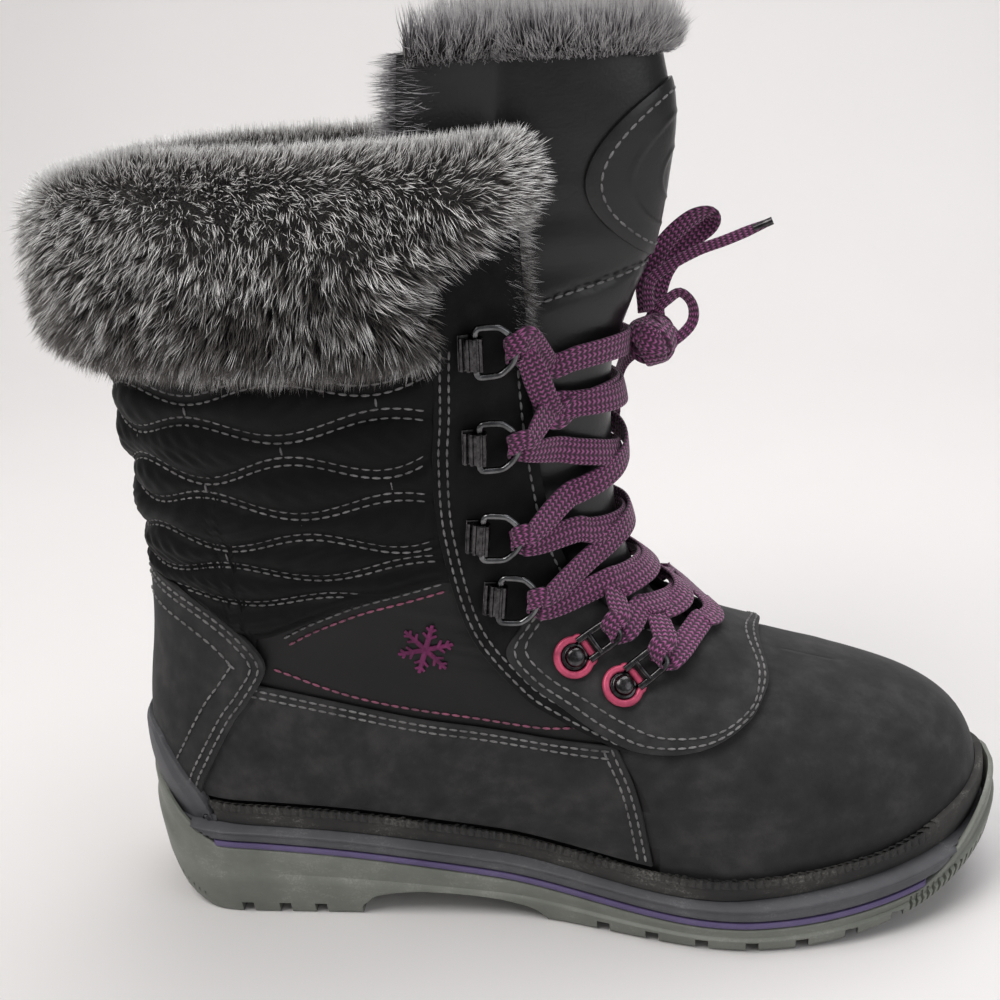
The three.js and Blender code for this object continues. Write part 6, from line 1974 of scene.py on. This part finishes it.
def flat_lace(name, path, facing, width, thickness=LACE_THICKNESS, closed=False):
    """A length of flat lace along a path."""
    return tube(name, path, facing, width, thickness, BAND_SIDES, closed, SELVEDGE, BAND_POWER)


class BOOT_OT_lace(BootOperator):
    """Flat woven lace over the tongue, from ring to ring"""

    bl_idname = "boot.lace"
    bl_label = "Lace"

    def make(self, sizes):
        self.width = sizes.lace_width
        own(
            self.strand(0, 0, 1.2, 1.2, 0.4, "lace_bar_top_fine"), ["plum_lace"], "plum_lace", "lace_bar_top"
        )
        for i in range(len(LACE_ROWS) - 1):
            down = self.strand(i, i + 1, -1, 1, 0.0, f"down_{i}")
            up = self.strand(i + 1, i, 1, -1, 1.9, f"up_{i}")
            pair = join(f"lace_crossing_{i + 1}_fine", [down, up])
            own(pair, ["plum_lace"], "plum_lace", f"lace_crossing_{i + 1}")
        last = len(LACE_ROWS) - 1
        own(
            self.strand(last, last, -1, -1, 0.2, "lace_bar_low_fine"), ["plum_lace"], "plum_lace",
            "lace_bar_low",
        )

    def strand(self, first, last, first_shift, last_shift, over, name):
        """A strand from a lateral station to a medial one, over the tongue."""
        low, low_out = lace_hold(first, LATERAL, first_shift * LACE_SLIDE, first_shift < 0)
        high, high_out = lace_hold(last, MEDIAL, last_shift * LACE_SLIDE, last_shift > 0 and first != last)
        rows = np.array(
            [LACE_ROWS[first] + first_shift * LACE_SIDE_STEP, LACE_ROWS[last] + last_shift * LACE_SIDE_STEP]
        )
        k = np.linspace(0, 1, 9)
        sag = 0.05 * np.sin(math.pi * k * 2 + first * 1.7)
        lift = LACE_LIFT + over * np.sin(math.pi * k) ** 2
        points, out = lace_bed(rows[0] + (rows[1] - rows[0]) * k + sag, STRAND_REACH * (2 * k - 1), 0.0)
        points = points + out * lift[:, None]
        points = np.vstack([low[::-1], points, high])
        out = np.vstack([low_out[::-1], out, high_out])
        line = even(spline(np.hstack([points, out]), 160), 1.1)
        count = len(line)
        ends = np.minimum(np.arange(count), np.arange(count)[::-1]) / (0.16 * count)
        width = self.width * (0.72 + 0.28 * ease(ends))
        twist = 0.14 * np.sin(np.linspace(0, 5, count) + first * 2.1)
        along = unit(np.gradient(line[:, :3], axis=0))
        facing = unit(line[:, 3:] + np.cross(along, line[:, 3:]) * twist[:, None])
        return flat_lace(name, line[:, :3], facing, width)


# Knot, bow and ends: steps ahead, across and up from the knot's middle, in millimetres.
KNOT_ROW = 13.46
KNOT_OUT = 7.8
KNOT_LACE_LIFT = 3.2
BOW_UP = (
    (-2, 6.2, 7.2), (-2, 12, 17), (4, 14, 27), (12, 15, 34), (18, 17, 35), (18, 20, 31), (11, 21, 25),
    (4, 20, 17),
    (1, 15, 8), (1, 10, 3),
)
BOW_LOW = (
    (-3, 3, 3), (1, 3, 8.4), (4.5, 3.1, 11.6), (8.5, 4, 13.5), (12, 3, 10), (12, 1, 5), (7.9, -1, 0.8),
    (2, -2, -2.4),
)
END_UP = ((-1.3, 0.5, 9.2), (-1, 5, 16.5), (5, 7, 21), (14, 8, 25.5), (23, 8, 28.6), (36, 8, 33.7))
END_DOWN = ((0, 9.8, -2.6), (-4, 19, -7), (-10, 28, -15), (-13, 35, -28), (-14, 38, -42))
BOW_WIDTH = 6
FOLDED_WIDTH = 3.4


def knot_middle():
    point, out = lace_bed(KNOT_ROW, 0.0, KNOT_LACE_LIFT)
    return point + out * KNOT_OUT


class BOOT_OT_bow(BootOperator):
    """The knot, the bow's loops and the lace's two ends"""

    bl_idname = "boot.bow"
    bl_label = "Knot and bow"

    def make(self, sizes):
        self.middle = knot_middle()
        self.knot()
        self.cord("lace_bow_up", BOW_UP, BOW_WIDTH, "object", (0.3, 1, 0.25))
        self.cord("lace_bow_low", BOW_LOW, FOLDED_WIDTH, "object", (0.2, 1, 0.1))
        self.cord("lace_end_up", END_UP, FOLDED_WIDTH, "fitting", (0.2, 0.9, -0.3))
        self.cord("lace_end_down", END_DOWN, BOW_WIDTH, "fitting", (0.9, 0.5, 0.3))

    def knot(self):
        """A lump of lace wrapped three ways."""
        parts = []
        wraps = (
            ((0.25, 1.0, 0.1), (1, 0, 0), 8.3, 6.0, 8.4, 0.0),
            ((0.1, 0.35, 1.0), (1, 0, 0), 6.3, 8.1, 7.6, 1.2),
            ((0.9, -0.5, 0.5), (0, 1, 0.4), 6.6, 7.4, 7.4, 0.6),
            ((0.5, 0.75, -0.6), (0, 0.3, 1), 6.2, 6.8, 6.6, 2.0),
        )
        for i, (axis, start, wide, high, width, turn) in enumerate(wraps):
            axis = unit(np.array(axis, float))
            first = unit(np.array(start, float) - axis * np.dot(start, axis))
            second = np.cross(axis, first)
            angle = np.linspace(0, 2 * math.pi, 60, endpoint=False) + turn
            ring = first * (wide * np.cos(angle))[:, None] + second * (high * np.sin(angle))[:, None]
            ring *= (0.78, 1, 1)
            wobble = axis * (1.3 * np.sin(2 * angle + i))[:, None]
            path = self.middle + ring + wobble
            parts.append(flat_lace(f"wrap_{i}", path, unit(ring), width, 2.2, True))
        bpy.ops.object.select_all(action="DESELECT")
        bpy.ops.mesh.primitive_uv_sphere_add(segments=32, ring_count=20, radius=0.5)
        core = bpy.context.object
        set_points(core, points_of(core) * (9.5, 13, 12.5) + self.middle)
        parts.append(smooth(core, 60))
        own(join("lace_knot_fine", parts), ["plum_lace"], "plum_lace", "lace_knot")

    def cord(self, name, rows, width, far_end, facing):
        line = even(spline(np.array(rows, float) + self.middle, 200), 1.0)
        count = len(line)
        facing = np.tile(unit(np.array(facing, float)), (count, 1))
        twist = 0.35 * np.sin(np.linspace(0, 4, count))
        along = unit(np.gradient(line, axis=0))
        facing = unit(facing + np.cross(along, facing) * twist[:, None])
        widths = np.full(count, float(width))
        if far_end == "fitting":
            widths[-9:] = np.linspace(width, 2.2, 9)
        obj = flat_lace(f"{name}_fine", line, facing, widths)
        own(obj, ["plum_lace"], "plum_lace", name)
        if far_end == "fitting":
            tip = line[-7:] + unit(line[-1] - line[-8]) * 0.4
            aglet = tube(f"{name}_tip", tip, facing[-7:], 2.5, 2.3, 12)
            own(aglet, ["dark_metal"], "gunmetal")
        to_frame(line[0])
        to_frame(line)


# Stage

CAMERA_PLACE = (0.134, -0.436, 0.313)
# Yaw, pitch down and roll, in degrees.
CAMERA_TURN = (-6.8, 21.6, -3.3)
CAMERA_LENS = 52.2
# Lights: name, place, what it looks at, size, share of the key light's power, tint.
LIGHTS = (
    ("key", (-0.45, -0.5, 1.25), (0.08, 0, 0.1), 0.8, 1, (1, 0.985, 0.96)),
    ("fill", (1.15, -0.7, 0.7), (0.1, 0, 0.1), 1.0, 0.3, (0.95, 0.97, 1)),
    ("top", (0.3, 0.3, 1.3), (0.08, 0, 0.1), 1.2, 1, (1, 1, 1)),
)
ROOM_COLOUR = (0.92, 0.93, 0.95, 1)
# The floor, in millimetres. It runs level for its depth, sweeps up a quarter turn and goes on as a wall.
FLOOR_LEFT = -2200
FLOOR_WIDTH = 4500
FLOOR_NEAR = -1700
FLOOR_DEPTH = 2300
SWEEP_LENGTH = 600
SWEEP_RADIUS = 382
FLOOR_LENGTH = 3600


class BOOT_OT_stage(BootOperator):
    """Pale floor that sweeps up behind the boot, soft lights and the camera"""

    bl_idname = "boot.stage"
    bl_label = "Stage"

    def make(self, sizes):
        scene = bpy.context.scene
        scene.view_settings.view_transform = "Standard"
        yaw, pitch, roll = (math.radians(a) for a in CAMERA_TURN)
        ahead = np.array(
            [math.sin(yaw) * math.cos(pitch), math.cos(yaw) * math.cos(pitch), -math.sin(pitch)]
        )
        level = np.array([math.cos(yaw), -math.sin(yaw), 0])
        upright = np.cross(level, ahead)
        right = math.cos(roll) * level + math.sin(roll) * upright
        up = -math.sin(roll) * level + math.cos(roll) * upright
        turn = Matrix(np.stack([right, up, -ahead], 1).tolist()).to_4x4()
        bpy.ops.object.camera_add()
        camera = bpy.context.object
        camera.matrix_world = Matrix.Translation(CAMERA_PLACE) @ turn
        camera.data.lens = CAMERA_LENS
        camera.data.sensor_width = 36
        camera.data.clip_start = 0.02
        scene.camera = camera
        floor = self.sweep()
        floor.data.materials.append(finish("pale_floor"))
        for name, place, aim, size, share, tint in LIGHTS:
            bpy.ops.object.light_add(type="AREA", location=place)
            light = bpy.context.object
            light.name = name
            light.data.shape = "DISK"
            light.data.size = size
            light.data.energy = sizes.key_light * share
            light.data.color = tint
            way = Vector(aim) - Vector(place)
            light.rotation_euler = way.to_track_quat("-Z", "Y").to_euler()
        world = scene.world or bpy.data.worlds.new("room")
        scene.world = world
        world.use_nodes = True
        background = world.node_tree.nodes["Background"]
        background.inputs["Color"].default_value = ROOM_COLOUR
        background.inputs["Strength"].default_value = sizes.room_light

    def sweep(self):
        def place(u, v):
            x = FLOOR_LEFT + FLOOR_WIDTH * u
            along = FLOOR_LENGTH * v
            turn = np.clip((along - FLOOR_DEPTH) / SWEEP_LENGTH, 0, 1) * math.pi / 2
            y = np.minimum(along, FLOOR_DEPTH) + FLOOR_NEAR + SWEEP_RADIUS * np.sin(turn)
            z = SWEEP_RADIUS * (1 - np.cos(turn)) + np.maximum(0, along - FLOOR_DEPTH - SWEEP_LENGTH)
            return np.stack([x, y, z], -1)

        return smooth(grid("floor", 8, 90, place), 60)


# Add-on

OPERATORS = (
    BOOT_OT_stage, BOOT_OT_bow, BOOT_OT_lace, BOOT_OT_outsole, BOOT_OT_midsole, BOOT_OT_welt, BOOT_OT_upper,
    BOOT_OT_counter, BOOT_OT_quilting, BOOT_OT_stays, BOOT_OT_seams, BOOT_OT_emblem, BOOT_OT_tongue,
    BOOT_OT_cuff,
    BOOT_OT_tongue_fur, BOOT_OT_rings, BOOT_OT_loops,
)


class BOOT_PT_panel(bpy.types.Panel):
    """Lists the steps that build the boot"""

    bl_idname = "BOOT_PT_panel"
    bl_label = "Snow boot"
    bl_space_type = "VIEW_3D"
    bl_region_type = "UI"
    bl_category = "Snow boot"

    def draw(self, context):
        sizes = context.scene.snow_boot
        for name in BootSizes.__annotations__:
            self.layout.prop(sizes, name)
        for operator in OPERATORS:
            self.layout.operator(operator.bl_idname)


def register():
    bpy.utils.register_class(BootSizes)
    for operator in OPERATORS:
        bpy.utils.register_class(operator)
    bpy.utils.register_class(BOOT_PT_panel)
    bpy.types.Scene.snow_boot = bpy.props.PointerProperty(type=BootSizes)


def unregister():
    del bpy.types.Scene.snow_boot
    bpy.utils.unregister_class(BOOT_PT_panel)
    for operator in reversed(OPERATORS):
        bpy.utils.unregister_class(operator)
    bpy.utils.unregister_class(BootSizes)


def main():
    register()
    for operator in OPERATORS:
        getattr(bpy.ops.boot, operator.bl_idname.split(".")[1])()


if __name__ == "__main__":
    main()
